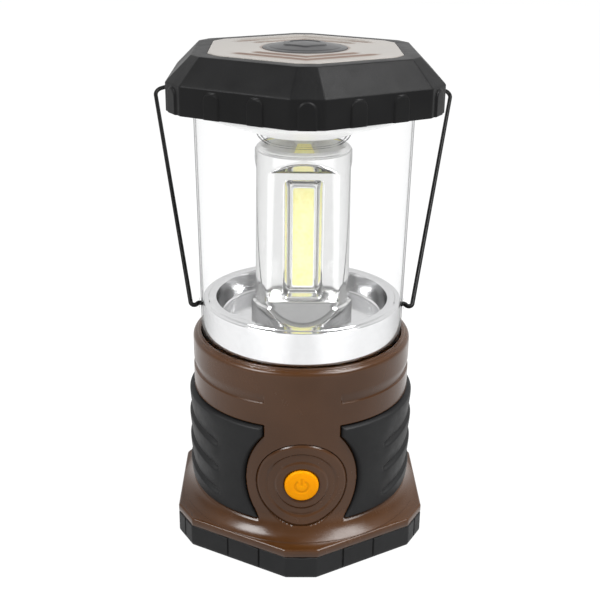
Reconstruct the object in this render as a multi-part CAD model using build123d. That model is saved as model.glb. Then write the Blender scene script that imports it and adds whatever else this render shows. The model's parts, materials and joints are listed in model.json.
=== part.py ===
"""Battery camping lantern: hexagonal cap and foot, clear globe, three-sided light column,
round battery base with rubber grips, wire bail and a fold-out hanging loop.

Frame: millimetres, +Z up, origin at the centre of the foot on the surface it stands on.
The front of the lantern, with the power button, faces -Y.
"""
import os
from math import cos, radians, sin, sqrt, tan

from build123d import *

# ---- driving dimensions -------------------------------------------------------------
CAP_TOP_Z = 260.0          # flat top face of the cap
HEX_APOTHEM = 66.1         # cap rim, centre to flat
HEX_CORNER = 71.8          # centre to the small face that cuts each corner
FOOT_APOTHEM = 66.7        # the foot is a little larger than the cap
FOOT_CORNER = 72.4
BASE_R = 58.5              # round battery housing
GLOBE_FOOT_R = 53.84       # clear globe where it enters the housing
GLOBE_HEAD_R = 55.72       # clear globe under the cap
COLUMN_FOOT_R = 25.9       # light column, which tapers a little
COLUMN_HEAD_R = 24.9
COLUMN_COLLAR_R = 27.0
BAIL_Z = 125.0             # height of the bail's pivot
BAIL_WIRE_R = 1.225
BAIL_LEAN = 50.5           # degrees that the bail leans back at rest
BAIL_SKEW = 1.8            # the hand-bent wire runs a little to one side at its top

# ---- foot and housing ---------------------------------------------------------------
FOOT_TOP_Z = 12.9
FLANGE_TOP_Z = 17.3
COVE_LOW = (66.2, 17.9)    # radius and height where the cove meets the flange
COVE_TOP_Z = 27.0
SHOULDER_Z = 108.0
HOUSING_TOP_Z = 111.8
WALL = 3.1
HOUSING_BORE_R = BASE_R - WALL
SOCKET_FLOOR_Z = 103.0
SOCKET_R = GLOBE_FOOT_R + 0.1
DECK_LOW_Z = 98.0
DECK_TOP_Z = 101.0
DECK_HOLE_R = 36.0
BAND_LOW_Z = 92.5
BAND_TOP_Z = 98.6
BAND_DEPTH = 0.55
BAND_GAP = 19.5            # degrees each side of front and back left plain
NEAR_GROOVE = 13.1         # grooves of the foot, from the middle of their flat
FAR_GROOVE = -6.1
SIDE_GROOVE = 9.6
GROOVE_DEPTH = 0.7
NOTCH_W = 7.4
NOTCH_DEPTH = 0.6
COLLAR_R = 53.4            # bore that the battery cover fits into
COLLAR_TOP_Z = 25.0

# ---- grips --------------------------------------------------------------------------
GRIP_R = 61.0
GRIP_SEAT_R = 57.5
GRIP_LOW_Z = 25.5
GRIP_TOP_Z = 79.5
GRIP_CORNER_X = 20.2       # front corners of a grip, from the middle plane
GRIP_ARC_R = 40.6          # scallop round the button
GRIP_ARC_X = -11.1         # its centre, on the far side of the middle plane
GRIP_ARC_Z = 48.1
GRIP_BACK = 157.0
GROOVE_ZS = (62.5, 48.0, 33.5)
GROOVE_START = 47.0
GROOVE_R = 1.9

# ---- button -------------------------------------------------------------------------
BUTTON_Z = 47.4
BUTTON_R = 8.8
BUTTON_FACE_Y = -59.5
POST_X = 13.4              # posts that carry the switch board
RING_OUTER_R = 23.3
RING_INNER_R = 17.4
RING_CORE_R = 13.5
RING_RISE = 0.35

# ---- globe, reflectors and column ---------------------------------------------------
GLOBE_WALL = 2.0
GLOBE_LOW_Z = 104.0
GLOBE_FLANGE_Z = 237.0
GLOBE_FLANGE_R = 58.6
BOSS_R = 3.6
BOSS_X = 55.1
DISH_RIM_Z = 130.2
DISH_R = 51.2
DISH_INNER_R = 45.8
DISH_FLOOR_Z = 119.0
COLUMN_TOP_Z = 209.6
ROOF_LOW = (22.0, 212.4)   # rim of the column's shallow roof
ROOF_HIGH = (9.0, 216.0)
ROOF_TOP_Z = 217.0
ROOF_SLOPE = 15.5          # degrees
PATCH_AT = (16.0, 213.1)   # distance and height of the middle of each roof patch's seat
PANEL_D = 18.2             # centre to each flat panel of the column
PANEL_LOW_Z = 132.6
PANEL_TOP_Z = 201.4
LED_D = 14.7               # centre to the face of each light strip
LED_W = 12.2
LED_LOW_Z = 139.7
LED_TOP_Z = 193.8
SIDES = (0, 120, 240)

# ---- cells --------------------------------------------------------------------------
CELL_R = 16.6
CELL_LOW_Z = 17.6
CELL_LEN = 61.5
CELL_PITCH = 34.4
CRADLE_R = 43.6
CRADLE_TOP_Z = 83.0

# ---- cap ----------------------------------------------------------------------------
CAP_LOW_Z = 234.2
CAP_RIM_Z = 247.8
CAP_WALL = 2.4
PLATE_APOTHEM = 46.5
PLATE_CORNER = 51.0
MEDALLION_R = 21.0
PAD_W = 8.6
PAD_RISE = 0.85
PAD_SPACING = 11.5


# ---- helpers ------------------------------------------------------------------------
def hexagon(apothem, corner):
    """Hexagon with its flats towards +X and -X and every corner cut, as a flat face."""
    half_flat = (corner - apothem * cos(radians(30))) / sin(radians(30))
    points = []
    for k in range(6):
        angle = radians(60 * k)
        for side in (-1, 1):
            x = apothem * cos(angle) - side * half_flat * sin(angle)
            y = apothem * sin(angle) + side * half_flat * cos(angle)
            points.append((x, y))
    return make_face(Polyline(*points, close=True))


def hex_prism(apothem, corner, low, high):
    return Pos(0, 0, low) * extrude(hexagon(apothem, corner), high - low)


def tube(outer, inner, low, high):
    return disc(outer, low, high) - disc(inner, low - 1, high + 1)


def disc(radius, low, high):
    return Pos(0, 0, (low + high) / 2) * Cylinder(radius, high - low)


def block(x, y, z):
    """Box from three (low, high) pairs."""
    middle = [(a + b) / 2 for a, b in (x, y, z)]
    return Pos(*middle) * Box(x[1] - x[0], y[1] - y[0], z[1] - z[0])


def rod_x(radius, x0, x1, y, z):
    return Pos((x0 + x1) / 2, y, z) * Rot(0, 90, 0) * Cylinder(radius, x1 - x0)


def rod_y(radius, y0, y1, x, z):
    return Pos(x, (y0 + y1) / 2, z) * Rot(90, 0, 0) * Cylinder(radius, y1 - y0)


def turned(points, arc=360.0):
    """Solid of revolution about Z from (radius, height) points."""
    return revolve(Plane.XZ * make_face(Polyline(*points, close=True)), Axis.Z, arc)


def round_about(piece, angles):
    return [Rot(0, 0, angle) * piece for angle in angles]


def wedge(start, end, radius=90.0):
    """Upright sector from one azimuth to another, azimuth 0 at the front, + towards +X."""
    points = [(0, 0)]
    steps = max(2, int(abs(end - start) / 30) + 2)
    for k in range(steps):
        azimuth = radians(start + (end - start) * k / (steps - 1))
        points.append((radius * 1.2 * sin(azimuth), -radius * 1.2 * cos(azimuth)))
    return extrude(make_face(Polyline(*points, close=True)), 300)


def polar(radius, azimuth):
    """X and Y at an azimuth measured from the front towards +X."""
    return radius * sin(radians(azimuth)), -radius * cos(radians(azimuth))


def screw(head_r, head_low, head_high, shank_r, tip):
    """Screw on Z with a cross recess in the head; tip is the far end of its shank."""
    head = disc(head_r, head_low, head_high)
    far = head_high if tip > head_high else head_low
    near = head_low if tip > head_high else head_high
    shank = disc(shank_r, min(far, tip), max(far, tip))
    depth = 0.5 * (head_high - head_low)
    inward = depth if tip > head_high else -depth
    slot_z = (min(near, near + inward), max(near, near + inward))
    cross = block((-head_r * 0.6, head_r * 0.6), (-0.35, 0.35), slot_z)
    cross += block((-0.35, 0.35), (-head_r * 0.6, head_r * 0.6), slot_z)
    return head + shank - cross


def wire(points, radii, radius):
    """Round wire through 3D points, with one bend radius for each inner point."""
    path = FilletPolyline(*points, radius=radii)
    start = path @ 0
    section = Plane(origin=start, z_dir=path % 0) * Circle(radius)
    return sweep(section, path=path)


# ---- base housing, foot, grips ------------------------------------------------------
def grip_outline(side):
    """What the grip keeps of a tube: all that lies outside its scalloped front edge."""
    outline = block((GRIP_CORNER_X, 90), (-90, 5), (GRIP_LOW_Z, GRIP_TOP_Z))
    outline -= rod_y(GRIP_ARC_R, -91, 6, GRIP_ARC_X, GRIP_ARC_Z)
    back = block((0, 90), (0, 90), (GRIP_LOW_Z, GRIP_TOP_Z)) & wedge(80, GRIP_BACK)
    outline += back
    return outline if side > 0 else mirror(outline, Plane.YZ)


def make_grip(side):
    shell = tube(GRIP_R, GRIP_SEAT_R, GRIP_LOW_Z, GRIP_TOP_Z)
    shell = chamfer(shell.edges().filter_by(GeomType.CIRCLE).sort_by(SortBy.RADIUS)[-2:], 0.9)
    grip = shell & grip_outline(side)
    for z in GROOVE_ZS:
        groove = Pos(0, 0, z) * Torus(GRIP_R + 0.7, GROOVE_R)
        reach = wedge(GROOVE_START, 180 - GROOVE_START)
        groove = groove & (reach if side > 0 else mirror(reach, Plane.YZ))
        grip -= groove
        for azimuth in (GROOVE_START, 180 - GROOVE_START):
            x, y = polar(GRIP_R + 0.7, side * azimuth)
            grip -= Pos(x, y, z) * Sphere(GROOVE_R)
    return grip


def make_housing():
    cove_r = COVE_LOW[0] - BASE_R
    outer = Plane.XZ * make_face(
        Line((0, FOOT_TOP_Z), (COVE_LOW[0], FOOT_TOP_Z))
        + Line((COVE_LOW[0], FOOT_TOP_Z), COVE_LOW)
        + ThreePointArc(
            COVE_LOW,
            (BASE_R + cove_r * 0.36, COVE_TOP_Z - (COVE_TOP_Z - COVE_LOW[1]) * 0.70),
            (BASE_R, COVE_TOP_Z),
        )
        + Line((BASE_R, COVE_TOP_Z), (BASE_R, SHOULDER_Z))
        + ThreePointArc(
            (BASE_R, SHOULDER_Z),
            (BASE_R - 1.15, SHOULDER_Z + 2.65),
            (SOCKET_R, HOUSING_TOP_Z),
        )
        + Line((SOCKET_R, HOUSING_TOP_Z), (0, HOUSING_TOP_Z))
        + Line((0, HOUSING_TOP_Z), (0, FOOT_TOP_Z))
    )
    body = revolve(outer, Axis.Z)
    flange = hex_prism(FOOT_APOTHEM + 0.1, FOOT_CORNER - 0.2, FOOT_TOP_Z, FLANGE_TOP_Z)
    flange = chamfer(flange.faces().sort_by(Axis.Z)[-1].edges(), 0.7)
    body += flange
    # pressed band with a sharp lower edge that fades out upwards
    band = turned([
        (BASE_R + 1, BAND_LOW_Z), (BASE_R - BAND_DEPTH, BAND_LOW_Z),
        (BASE_R - BAND_DEPTH, BAND_TOP_Z - 2), (BASE_R, BAND_TOP_Z), (BASE_R + 1, BAND_TOP_Z),
    ])
    for middle in (0, 180):
        band -= wedge(middle - BAND_GAP, middle + BAND_GAP)
    body -= band
    # raised rings round the button
    front = tube(BASE_R + RING_RISE, BASE_R - 1.2, 15, 80) & wedge(-60, 60)
    ring = rod_y(RING_OUTER_R - 0.4, -70, -20, 0, BUTTON_Z)
    ring -= rod_y(RING_INNER_R, -71, -19, 0, BUTTON_Z)
    core = rod_y(RING_CORE_R, -70, -20, 0, BUTTON_Z)
    body += front & ring
    body += front & core
    # inside: cell space, deck for the reflector, globe socket, collar for the cover
    body -= disc(HOUSING_BORE_R, COLLAR_TOP_Z, DECK_LOW_Z)
    body -= disc(COLLAR_R, FOOT_TOP_Z - 1, COLLAR_TOP_Z + 1)
    body -= disc(DECK_HOLE_R, DECK_LOW_Z - 1, DECK_TOP_Z + 1)
    body -= disc(DISH_R + 0.05, DECK_TOP_Z, SOCKET_FLOOR_Z + 1)
    body -= disc(SOCKET_R, SOCKET_FLOOR_Z, HOUSING_TOP_Z + 1)
    # bosses that hold the cradle
    boss = Pos(49, 0, 0) * disc(3.4, CRADLE_TOP_Z, DECK_LOW_Z + 0.5)
    hole = Pos(49, 0, 0) * disc(1.4, CRADLE_TOP_Z - 1, CRADLE_TOP_Z + 9)
    for angle in (45, 135, 225, 315):
        body += Rot(0, 0, angle) * boss
        body -= Rot(0, 0, angle) * hole
    # holes for the reflector's screws
    for angle in (30, 150, 270):
        body -= Rot(0, 0, angle) * Pos(41, 0, 0) * disc(1.7, DECK_LOW_Z - 1, DECK_TOP_Z + 1)
    # button hole, its inner seat, posts for the switch board and pockets under the grips
    body -= rod_y(BUTTON_R + 0.1, -70, -20, 0, BUTTON_Z)
    for x in (-POST_X, POST_X):
        post = rod_y(2.6, -56.2, -48.6, x, BUTTON_Z)
        body += post - rod_y(1.0, -54.5, -48, x, BUTTON_Z)
    for side in (-1, 1):
        pocket = tube(GRIP_R + 6, GRIP_SEAT_R, GRIP_LOW_Z, GRIP_TOP_Z) & grip_outline(side)
        body -= pocket
    return body


def make_foot_ring():
    """Rubber foot with upright grooves, each with a shallow notch beside its top."""
    ring = hex_prism(FOOT_APOTHEM, FOOT_CORNER, 0, FOOT_TOP_Z)
    ring = chamfer(ring.faces().sort_by(Axis.Z)[0].edges(), 1.2)
    ring = fillet(ring.edges().filter_by(Axis.Z), 1.2)
    ring -= disc(COLLAR_R + 0.3, -1, FOOT_TOP_Z + 1)
    # the four flats beside the front and back corners: angle, and which way that corner lies
    for angle, toward in ((-120, 1), (-60, -1), (60, 1), (120, -1)):
        for distance in (NEAR_GROOVE, FAR_GROOVE):
            ring -= foot_groove(FOOT_APOTHEM, angle, toward * distance)
            ring -= foot_notch(FOOT_APOTHEM, angle, toward * (distance - NOTCH_W / 2))
    for angle in (0, 180):
        for t in (-SIDE_GROOVE, SIDE_GROOVE):
            ring -= foot_groove(FOOT_APOTHEM, angle, t)
    for angle in (30, 150, -30, -150):
        ring -= foot_groove(FOOT_CORNER, angle, 0)
    for angle in (-90, 90):
        ring -= foot_notch(FOOT_CORNER, angle, 0)
    return ring


def foot_groove(distance, angle, t):
    cut = block((distance - GROOVE_DEPTH, distance + 2), (t - 0.45, t + 0.45), (2, FOOT_TOP_Z + 1))
    return Rot(0, 0, angle) * cut


def foot_notch(distance, angle, t):
    half = NOTCH_W / 2
    heights = (FOOT_TOP_Z - NOTCH_DEPTH, FOOT_TOP_Z + 1)
    cut = block((distance - GROOVE_DEPTH, distance + 2), (t - half, t + half), heights)
    return Rot(0, 0, angle) * cut


def make_button():
    cap = rod_y(BUTTON_R, BUTTON_FACE_Y, -53.2, 0, BUTTON_Z)
    cap = fillet(cap.edges().sort_by(Axis.Y)[0], 1.0)
    flange = rod_y(BUTTON_R + 1.2, -53.6, -52.2, 0, BUTTON_Z)
    stem = rod_y(1.6, -52.3, -51.5, 0, BUTTON_Z)
    return cap + flange + stem


# ---- electrics ----------------------------------------------------------------------
def make_switch_board():
    board = block((-POST_X - 3, POST_X + 3), (-48.6, -47.4), (BUTTON_Z - 7, BUTTON_Z + 7))
    for x in (-POST_X, POST_X):
        board -= rod_y(1.1, -50, -46, x, BUTTON_Z)
    return board


def make_tact_switch():
    case = block((-3, 3), (-50.2, -48.6), (BUTTON_Z - 3, BUTTON_Z + 3))
    return case + rod_y(1.6, -50.45, -50.1, 0, BUTTON_Z)


def make_switch_screws():
    screws = []
    for x in (-POST_X, POST_X):
        head = rod_y(2.0, -47.4, -46.0, x, BUTTON_Z)
        screws.append(head + rod_y(1.0, -53.5, -47.4, x, BUTTON_Z))
    return screws


def cell_centres():
    half = CELL_PITCH / 2
    return [(half, half), (-half, half), (-half, -half), (half, -half)]


def make_cells():
    cells = []
    for k, (x, y) in enumerate(cell_centres()):
        can = Cylinder(CELL_R, CELL_LEN - 1.5)
        can = fillet(can.edges().filter_by(GeomType.CIRCLE), 0.8)
        nub = Pos(0, 0, (CELL_LEN - 1.5) / 2 + 0.75) * Cylinder(4.75, 1.5)
        cell = Pos(0, 0, -0.75) * (can + nub)
        if k % 2:
            cell = Rot(180, 0, 0) * cell
        cells.append(Pos(x, y, CELL_LOW_Z + CELL_LEN / 2) * cell)
    return cells


def make_cradle():
    inner = CRADLE_R - 1.8
    cradle = tube(CRADLE_R, inner, 24, CRADLE_TOP_Z - 2.5)
    cradle += disc(HOUSING_BORE_R - 0.1, CRADLE_TOP_Z - 2.5, CRADLE_TOP_Z)
    cross = block((-inner - 0.5, inner + 0.5), (-0.5, 0.5), (24, CRADLE_TOP_Z - 2))
    cross += block((-0.5, 0.5), (-inner - 0.5, inner + 0.5), (24, CRADLE_TOP_Z - 2))
    cradle += cross
    for x, y in cell_centres():
        cradle -= Pos(x, y, 0) * disc(CELL_R + 0.1, 20, CRADLE_TOP_Z - 2.5)
    for angle in (45, 135, 225, 315):
        cradle -= Rot(0, 0, angle) * Pos(49, 0, 0) * disc(1.7, CRADLE_TOP_Z - 4, CRADLE_TOP_Z + 1)
    half = CELL_PITCH / 2
    for y in (-half, half):
        cradle -= block((-half - 6, half + 6), (y - 5, y + 5), (CRADLE_TOP_Z - 4, CRADLE_TOP_Z - 2.5))
    # openings for the leads, and posts for the driver board
    for x in (-10, 10):
        cradle -= Pos(x, 0, 0) * disc(1.6, CRADLE_TOP_Z - 5, CRADLE_TOP_Z + 1)
    for angle in (90, 210, 330):
        post = Pos(28, 0, 0) * (disc(2.6, CRADLE_TOP_Z, 89) - disc(1.0, CRADLE_TOP_Z + 1, 90))
        cradle += Rot(0, 0, angle) * post
    return cradle


def make_upper_contacts():
    contacts = []
    top = CRADLE_TOP_Z - 2.5
    low = CELL_LOW_Z + CELL_LEN + 0.05
    half = CELL_PITCH / 2
    for y in (-half, half):
        plate = block((-half - 6, half + 6), (y - 5, y + 5), (top - 0.6, top))
        for x in (-half, half):
            plate += Pos(x, y, 0) * disc(3.5, low, top)
        contacts.append(plate)
    return contacts


def make_driver_board():
    board = disc(33, 89, 90.6)
    for angle in (90, 210, 330):
        board -= Rot(0, 0, angle) * Pos(28, 0, 0) * disc(1.1, 88, 92)
    for x in (-10, 10):
        board -= Pos(x, 0, 0) * disc(1.0, 88, 92)
    return board


def make_driver_parts():
    top = 90.6
    coil = Pos(-16, 8, 0) * (disc(6, top, top + 5) - disc(2.2, top + 3.5, top + 6))
    parts = [coil]
    for x, y, radius, height in ((14, 10, 4, 6.0), (18, -2, 3.15, 5.5), (-18, -8, 3.15, 5.5)):
        parts.append(Pos(x, y, 0) * disc(radius, top, top + height))
    for x, y, w, d, h in ((0, 14, 6, 5, 1.6), (2, -14, 5, 4, 1.5), (-8, -18, 3.2, 1.6, 0.8),
                          (10, -18, 3.2, 1.6, 0.8), (0, 22, 3.2, 1.6, 0.8)):
        parts.append(block((x - w / 2, x + w / 2), (y - d / 2, y + d / 2), (top, top + h)))
    return parts


def make_leads():
    """Two leads from the driver board up into the column, two down to the contacts."""
    leads = []
    for sign in (-1, 1):
        points = [(sign * 4, 0, 90.6), (sign * 4, 0, 99), (sign * 7, 0, 108), (sign * 6, 0, 121)]
        leads.append(wire(points, [8, 12], 0.8))
        leads.append(Pos(sign * 10, 0, 0) * disc(0.8, CRADLE_TOP_Z - 2.5, 89))
    return leads


# ---- light column and reflectors ----------------------------------------------------
def triangle_prism(apothem, low, high):
    """Upright three-sided prism with a face towards each light strip."""
    reach = 2 * apothem
    points = []
    for angle in (90, 210, 330):
        points.append((reach * cos(radians(angle)), reach * sin(radians(angle))))
    return Pos(0, 0, low) * extrude(make_face(Polyline(*points, close=True)), high - low)


def make_column():
    body = turned([
        (0, DISH_FLOOR_Z), (COLUMN_COLLAR_R, DISH_FLOOR_Z), (COLUMN_COLLAR_R, 129.6),
        (COLUMN_COLLAR_R - 0.8, 130.4), (COLUMN_FOOT_R, 130.4), (COLUMN_HEAD_R, COLUMN_TOP_Z),
        (COLUMN_HEAD_R - 0.9, COLUMN_TOP_Z + 1.7), ROOF_LOW, ROOF_HIGH, (6.4, ROOF_TOP_Z), (0, ROOF_TOP_Z),
    ])
    slope_top = 6.1 / 6.4
    slope_low = 7.8 / 6.4
    far = 40.0
    side = [
        (PANEL_D, PANEL_LOW_Z), (PANEL_D, PANEL_TOP_Z),
        (far, PANEL_TOP_Z + slope_top * (far - PANEL_D)),
        (far, PANEL_LOW_Z - slope_low * (far - PANEL_D)),
    ]
    face = Plane.YZ * make_face(Polyline(*[(-d, z) for d, z in side], close=True))
    pocket = Pos(-30, 0, 0) * extrude(face, 60, dir=(1, 0, 0))
    # bevelled window down to the light strip
    near = Plane(origin=(0, -PANEL_D - 0.01, (134.6 + 198.0) / 2), z_dir=(0, 1, 0), x_dir=(1, 0, 0))
    deep = Plane(origin=(0, -LED_D + 0.01, (138.9 + 194.7) / 2), z_dir=(0, 1, 0), x_dir=(1, 0, 0))
    window = loft([near * Rectangle(20.2, 63.4), deep * Rectangle(14.2, 55.8)])
    window = fillet(window.edges().filter_by(
        lambda edge: abs((edge @ 0 - edge @ 1).Y) > 1), 1.4)
    for angle in SIDES:
        body -= Rot(0, 0, angle) * pocket
    for angle in SIDES:
        body -= Rot(0, 0, angle) * window
    for angle in SIDES:
        body -= Rot(0, 0, angle) * roof_patch(0, 2)
    cavity = triangle_prism(LED_D, DISH_FLOOR_Z - 1, 208.5) & disc(22.6, 100, 220)
    return body - cavity


def roof_patch(low, high):
    """Trapezoid slab on the roof's front slope, between two heights above its seat."""
    outline = Polyline((-5.2, -4.9), (5.2, -4.9), (3.3, 4.9), (-3.3, 4.9), close=True)
    slab = Pos(0, 0, low) * extrude(make_face(outline), high - low)
    return Pos(0, -PATCH_AT[0], PATCH_AT[1]) * Rot(ROOF_SLOPE, 0, 0) * slab


def make_heat_sink():
    sink = triangle_prism(LED_D - 2.15, DISH_FLOOR_Z + 2, 206) & disc(22.4, 100, 220)
    return sink - disc(9.5, 100, 220)


def make_led_boards():
    board = block((-7.8, 7.8), (-(LED_D - 1.1), -(LED_D - 2.15)), (137.4, 196.2))
    return round_about(board, SIDES)


def make_led_frames():
    """White dam round each light strip."""
    half = LED_W / 2
    depth = (-LED_D, -(LED_D - 1.1))
    frame = block((-half, half), depth, (LED_LOW_Z, LED_TOP_Z))
    frame -= block((-half + 0.9, half - 0.9), (-20, -1), (LED_LOW_Z + 0.9, LED_TOP_Z - 0.9))
    return round_about(frame, SIDES)


def make_led_strips():
    """Yellow phosphor of each light strip."""
    half = LED_W / 2 - 0.9
    depth = (-LED_D + 0.1, -(LED_D - 1.1))
    strip = block((-half, half), depth, (LED_LOW_Z + 0.9, LED_TOP_Z - 0.9))
    return round_about(strip, SIDES) + round_about(roof_patch(0, 0.6), SIDES)


def make_column_cap():
    cap = disc(5.7, ROOF_TOP_Z, ROOF_TOP_Z + 0.8)
    return fillet(cap.edges().sort_by(Axis.Z)[-1], 0.3)


def make_lower_reflector():
    floor_low = DISH_FLOOR_Z - 1.6
    dish = turned([
        (9.0, DISH_FLOOR_Z), (43.6, DISH_FLOOR_Z), (44.6, DISH_FLOOR_Z + 1.0),
        (DISH_INNER_R, DISH_RIM_Z - 0.6), (DISH_INNER_R + 0.6, DISH_RIM_Z),
        (DISH_R - 0.6, DISH_RIM_Z), (DISH_R, DISH_RIM_Z - 0.6),
        (DISH_R, DECK_TOP_Z), (DISH_R - 1.6, DECK_TOP_Z), (DISH_R - 1.6, DISH_RIM_Z - 1.8),
        (DISH_INNER_R + 1.6, DISH_RIM_Z - 1.8), (46.0, floor_low), (9.0, floor_low),
    ])
    # seat for the seal
    dish -= Pos(0, 0, 107.5) * tube(DISH_R + 1, DISH_R - 1.05, -1.0, 1.0)
    boss = Pos(41, 0, 0) * disc(3.4, DECK_TOP_Z, floor_low + 0.2)
    hole = Pos(41, 0, 0) * disc(1.4, DECK_TOP_Z - 1, 112)
    for angle in (30, 150, 270):
        dish += Rot(0, 0, angle) * boss
        dish -= Rot(0, 0, angle) * hole
    for angle in (30, 150, 270):
        dish -= Rot(0, 0, angle) * Pos(22.9, 0, 0) * disc(1.3, 110, 125)
    return dish


def make_globe_top():
    """Clear lid of the globe: a cup over the column's roof that opens into a shallow cone."""
    flange_low = GLOBE_FLANGE_Z + 2.0
    flange_top = GLOBE_FLANGE_Z + 3.2
    return turned([
        (18.6, 214.5), (19.6, 213.8), (21.4, 214.5), (23.2, 216.2), (24.2, 218.0), (24.7, 219.5),
        (43.7, 225.9), (52.0, 228.8), (53.0, 230.2), (53.0, flange_low), (GLOBE_FLANGE_R, flange_low),
        (GLOBE_FLANGE_R, flange_top), (51.6, flange_top), (51.6, 230.6), (51.0, 229.8), (43.2, 227.2),
        (24.0, 220.9), (0, 220.9), (0, 219.5), (23.1, 219.5), (22.8, 218.3), (21.8, 216.6), (20.3, 215.2),
    ])


def make_globe():
    top = GLOBE_FLANGE_Z + 2.0
    shell = turned([
        (GLOBE_FOOT_R - GLOBE_WALL, GLOBE_LOW_Z), (GLOBE_FOOT_R, GLOBE_LOW_Z),
        (GLOBE_FOOT_R, HOUSING_TOP_Z), (GLOBE_HEAD_R, GLOBE_FLANGE_Z),
        (GLOBE_FLANGE_R, GLOBE_FLANGE_Z), (GLOBE_FLANGE_R, top),
        (GLOBE_HEAD_R - GLOBE_WALL, top), (GLOBE_HEAD_R - GLOBE_WALL, GLOBE_FLANGE_Z),
        (GLOBE_FOOT_R - GLOBE_WALL, HOUSING_TOP_Z),
    ])
    shell += rod_x(BOSS_R, 52.9, BOSS_X, 0, BAIL_Z)
    shell += rod_x(BOSS_R, -BOSS_X, -52.9, 0, BAIL_Z)
    return shell - rod_x(BAIL_WIRE_R + 0.06, -80, 80, 0, BAIL_Z)


def make_seal(radius, section, z):
    return Pos(0, 0, z) * Torus(radius, section)


# ---- cap ----------------------------------------------------------------------------
def cap_solid(inset, low, high):
    """The cap's outer form, or with an inset, a parallel form inside it."""
    apothem = HEX_APOTHEM - inset
    corner = HEX_CORNER - inset
    rim_z = CAP_RIM_Z - inset * tan(radians(22.5))
    rim = hex_prism(apothem, corner, low, rim_z)
    slope = Pos(0, 0, rim_z) * extrude(hexagon(apothem, corner), high - rim_z, taper=45)
    return rim + slope


def make_pad(width, height):
    """Round-topped pad that stands proud of the rim, on the +X face."""
    half = width / 2
    reach = (HEX_APOTHEM - 1.5, HEX_APOTHEM + PAD_RISE)
    pad = block(reach, (-half, half), (CAP_LOW_Z, CAP_LOW_Z + height - half))
    pad += rod_x(half, reach[0], reach[1], 0, CAP_LOW_Z + height - half)
    return pad


def make_cap():
    outer = cap_solid(0, CAP_LOW_Z, CAP_TOP_Z)
    crest = [edge for edge in outer.edges() if edge.center().Z > CAP_RIM_Z - 0.1]
    outer = fillet(crest, 0.9)
    for k in range(6):
        for t in (-PAD_SPACING, PAD_SPACING):
            outer += Rot(0, 0, 60 * k) * Pos(0, t, 0) * make_pad(PAD_W, 12.5)
        corner_pad = Pos(HEX_CORNER - HEX_APOTHEM, 0, 0) * make_pad(PAD_W, 12.5)
        outer += Rot(0, 0, 60 * k + 30) * corner_pad
    inside = cap_solid(CAP_WALL, CAP_LOW_Z - 1, CAP_TOP_Z - 2.6)
    shell = outer - inside
    shell -= hex_prism(PLATE_APOTHEM + 0.1, PLATE_CORNER + 0.1, CAP_TOP_Z - 1.0, CAP_TOP_Z + 1)
    # ring that clamps the globe and the reflector, and bosses for the screws
    clamp = tube(57.6, 54.8, GLOBE_FLANGE_Z + 3.2, CAP_TOP_Z - 2.0)
    boss = Pos(62.2, 0, 0) * disc(3.1, GLOBE_FLANGE_Z, CAP_RIM_Z + 4)
    hole = Pos(62.2, 0, 0) * disc(1.3, GLOBE_FLANGE_Z - 1, GLOBE_FLANGE_Z + 9)
    kept = cap_solid(0.5, CAP_LOW_Z, CAP_TOP_Z - 1.5)
    shell += clamp & kept
    for k in range(6):
        angle = 60 * k + 30
        shell += Rot(0, 0, angle) * boss & kept
        shell -= Rot(0, 0, angle) * hole
    return shell


def make_underplate():
    low = CAP_LOW_Z + 0.6
    inset = CAP_WALL + 0.08
    plate = hex_prism(HEX_APOTHEM - inset, HEX_CORNER - inset, low, GLOBE_FLANGE_Z)
    plate -= disc(GLOBE_HEAD_R + 0.25, low - 1, GLOBE_FLANGE_Z + 1)
    for k in range(6):
        well = Pos(62.2, 0, 0) * (disc(1.6, low - 1, 240) + disc(2.9, low - 1, low + 1.0))
        plate -= Rot(0, 0, 60 * k + 30) * well
    return plate


def make_cap_plate():
    plate = hex_prism(PLATE_APOTHEM, PLATE_CORNER, CAP_TOP_Z - 1.0, CAP_TOP_Z + 0.3)
    plate = chamfer(plate.faces().sort_by(Axis.Z)[-1].edges(), 0.3)
    plate -= disc(MEDALLION_R + 0.15, 250, 270)
    # two shallow steps that follow the front and back corners
    for reach, length in ((44.0, 36.0), (32.5, 25.0)):
        for turn in (0, 180):
            for side in (-1, 1):
                run = block((0, length * side) if side > 0 else (-length, 0), (-0.45, 0.45), (-0.25, 2))
                run = Rot(0, 0, 30 * side) * run
                plate -= Rot(0, 0, turn) * Pos(0, -reach, CAP_TOP_Z + 0.3) * run
    return plate


def make_medallion():
    rise = 2.3
    edge_z = CAP_TOP_Z + 0.5
    sphere_r = (MEDALLION_R ** 2 + rise ** 2) / (2 * rise)
    dome = Pos(0, 0, edge_z + rise - sphere_r) * Sphere(sphere_r)
    return dome & disc(MEDALLION_R, CAP_TOP_Z - 1.0, edge_z + rise + 1)


# ---- bail ---------------------------------------------------------------------------
def make_bail():
    """One bent wire, drawn upright in the XZ plane through its pivot, then leant back."""
    half = [(51.9, 0.0), (55.9, 0.0), (58.7, -5.2), (90.2, 147.4), (62.0, 158.6)]
    skew = BAIL_SKEW / 158.6
    points = [(x + skew * max(s, 0), 0, s) for x, s in half]
    points += [(-x + skew * max(s, 0), 0, s) for x, s in reversed(half)]
    radii = [1.3, 2.0, 5.0, 40.0]
    path_radii = radii + list(reversed(radii))
    upright = wire(points, path_radii, BAIL_WIRE_R)
    return Pos(0, 0, BAIL_Z) * Rot(-BAIL_LEAN, 0, 0) * upright


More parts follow.
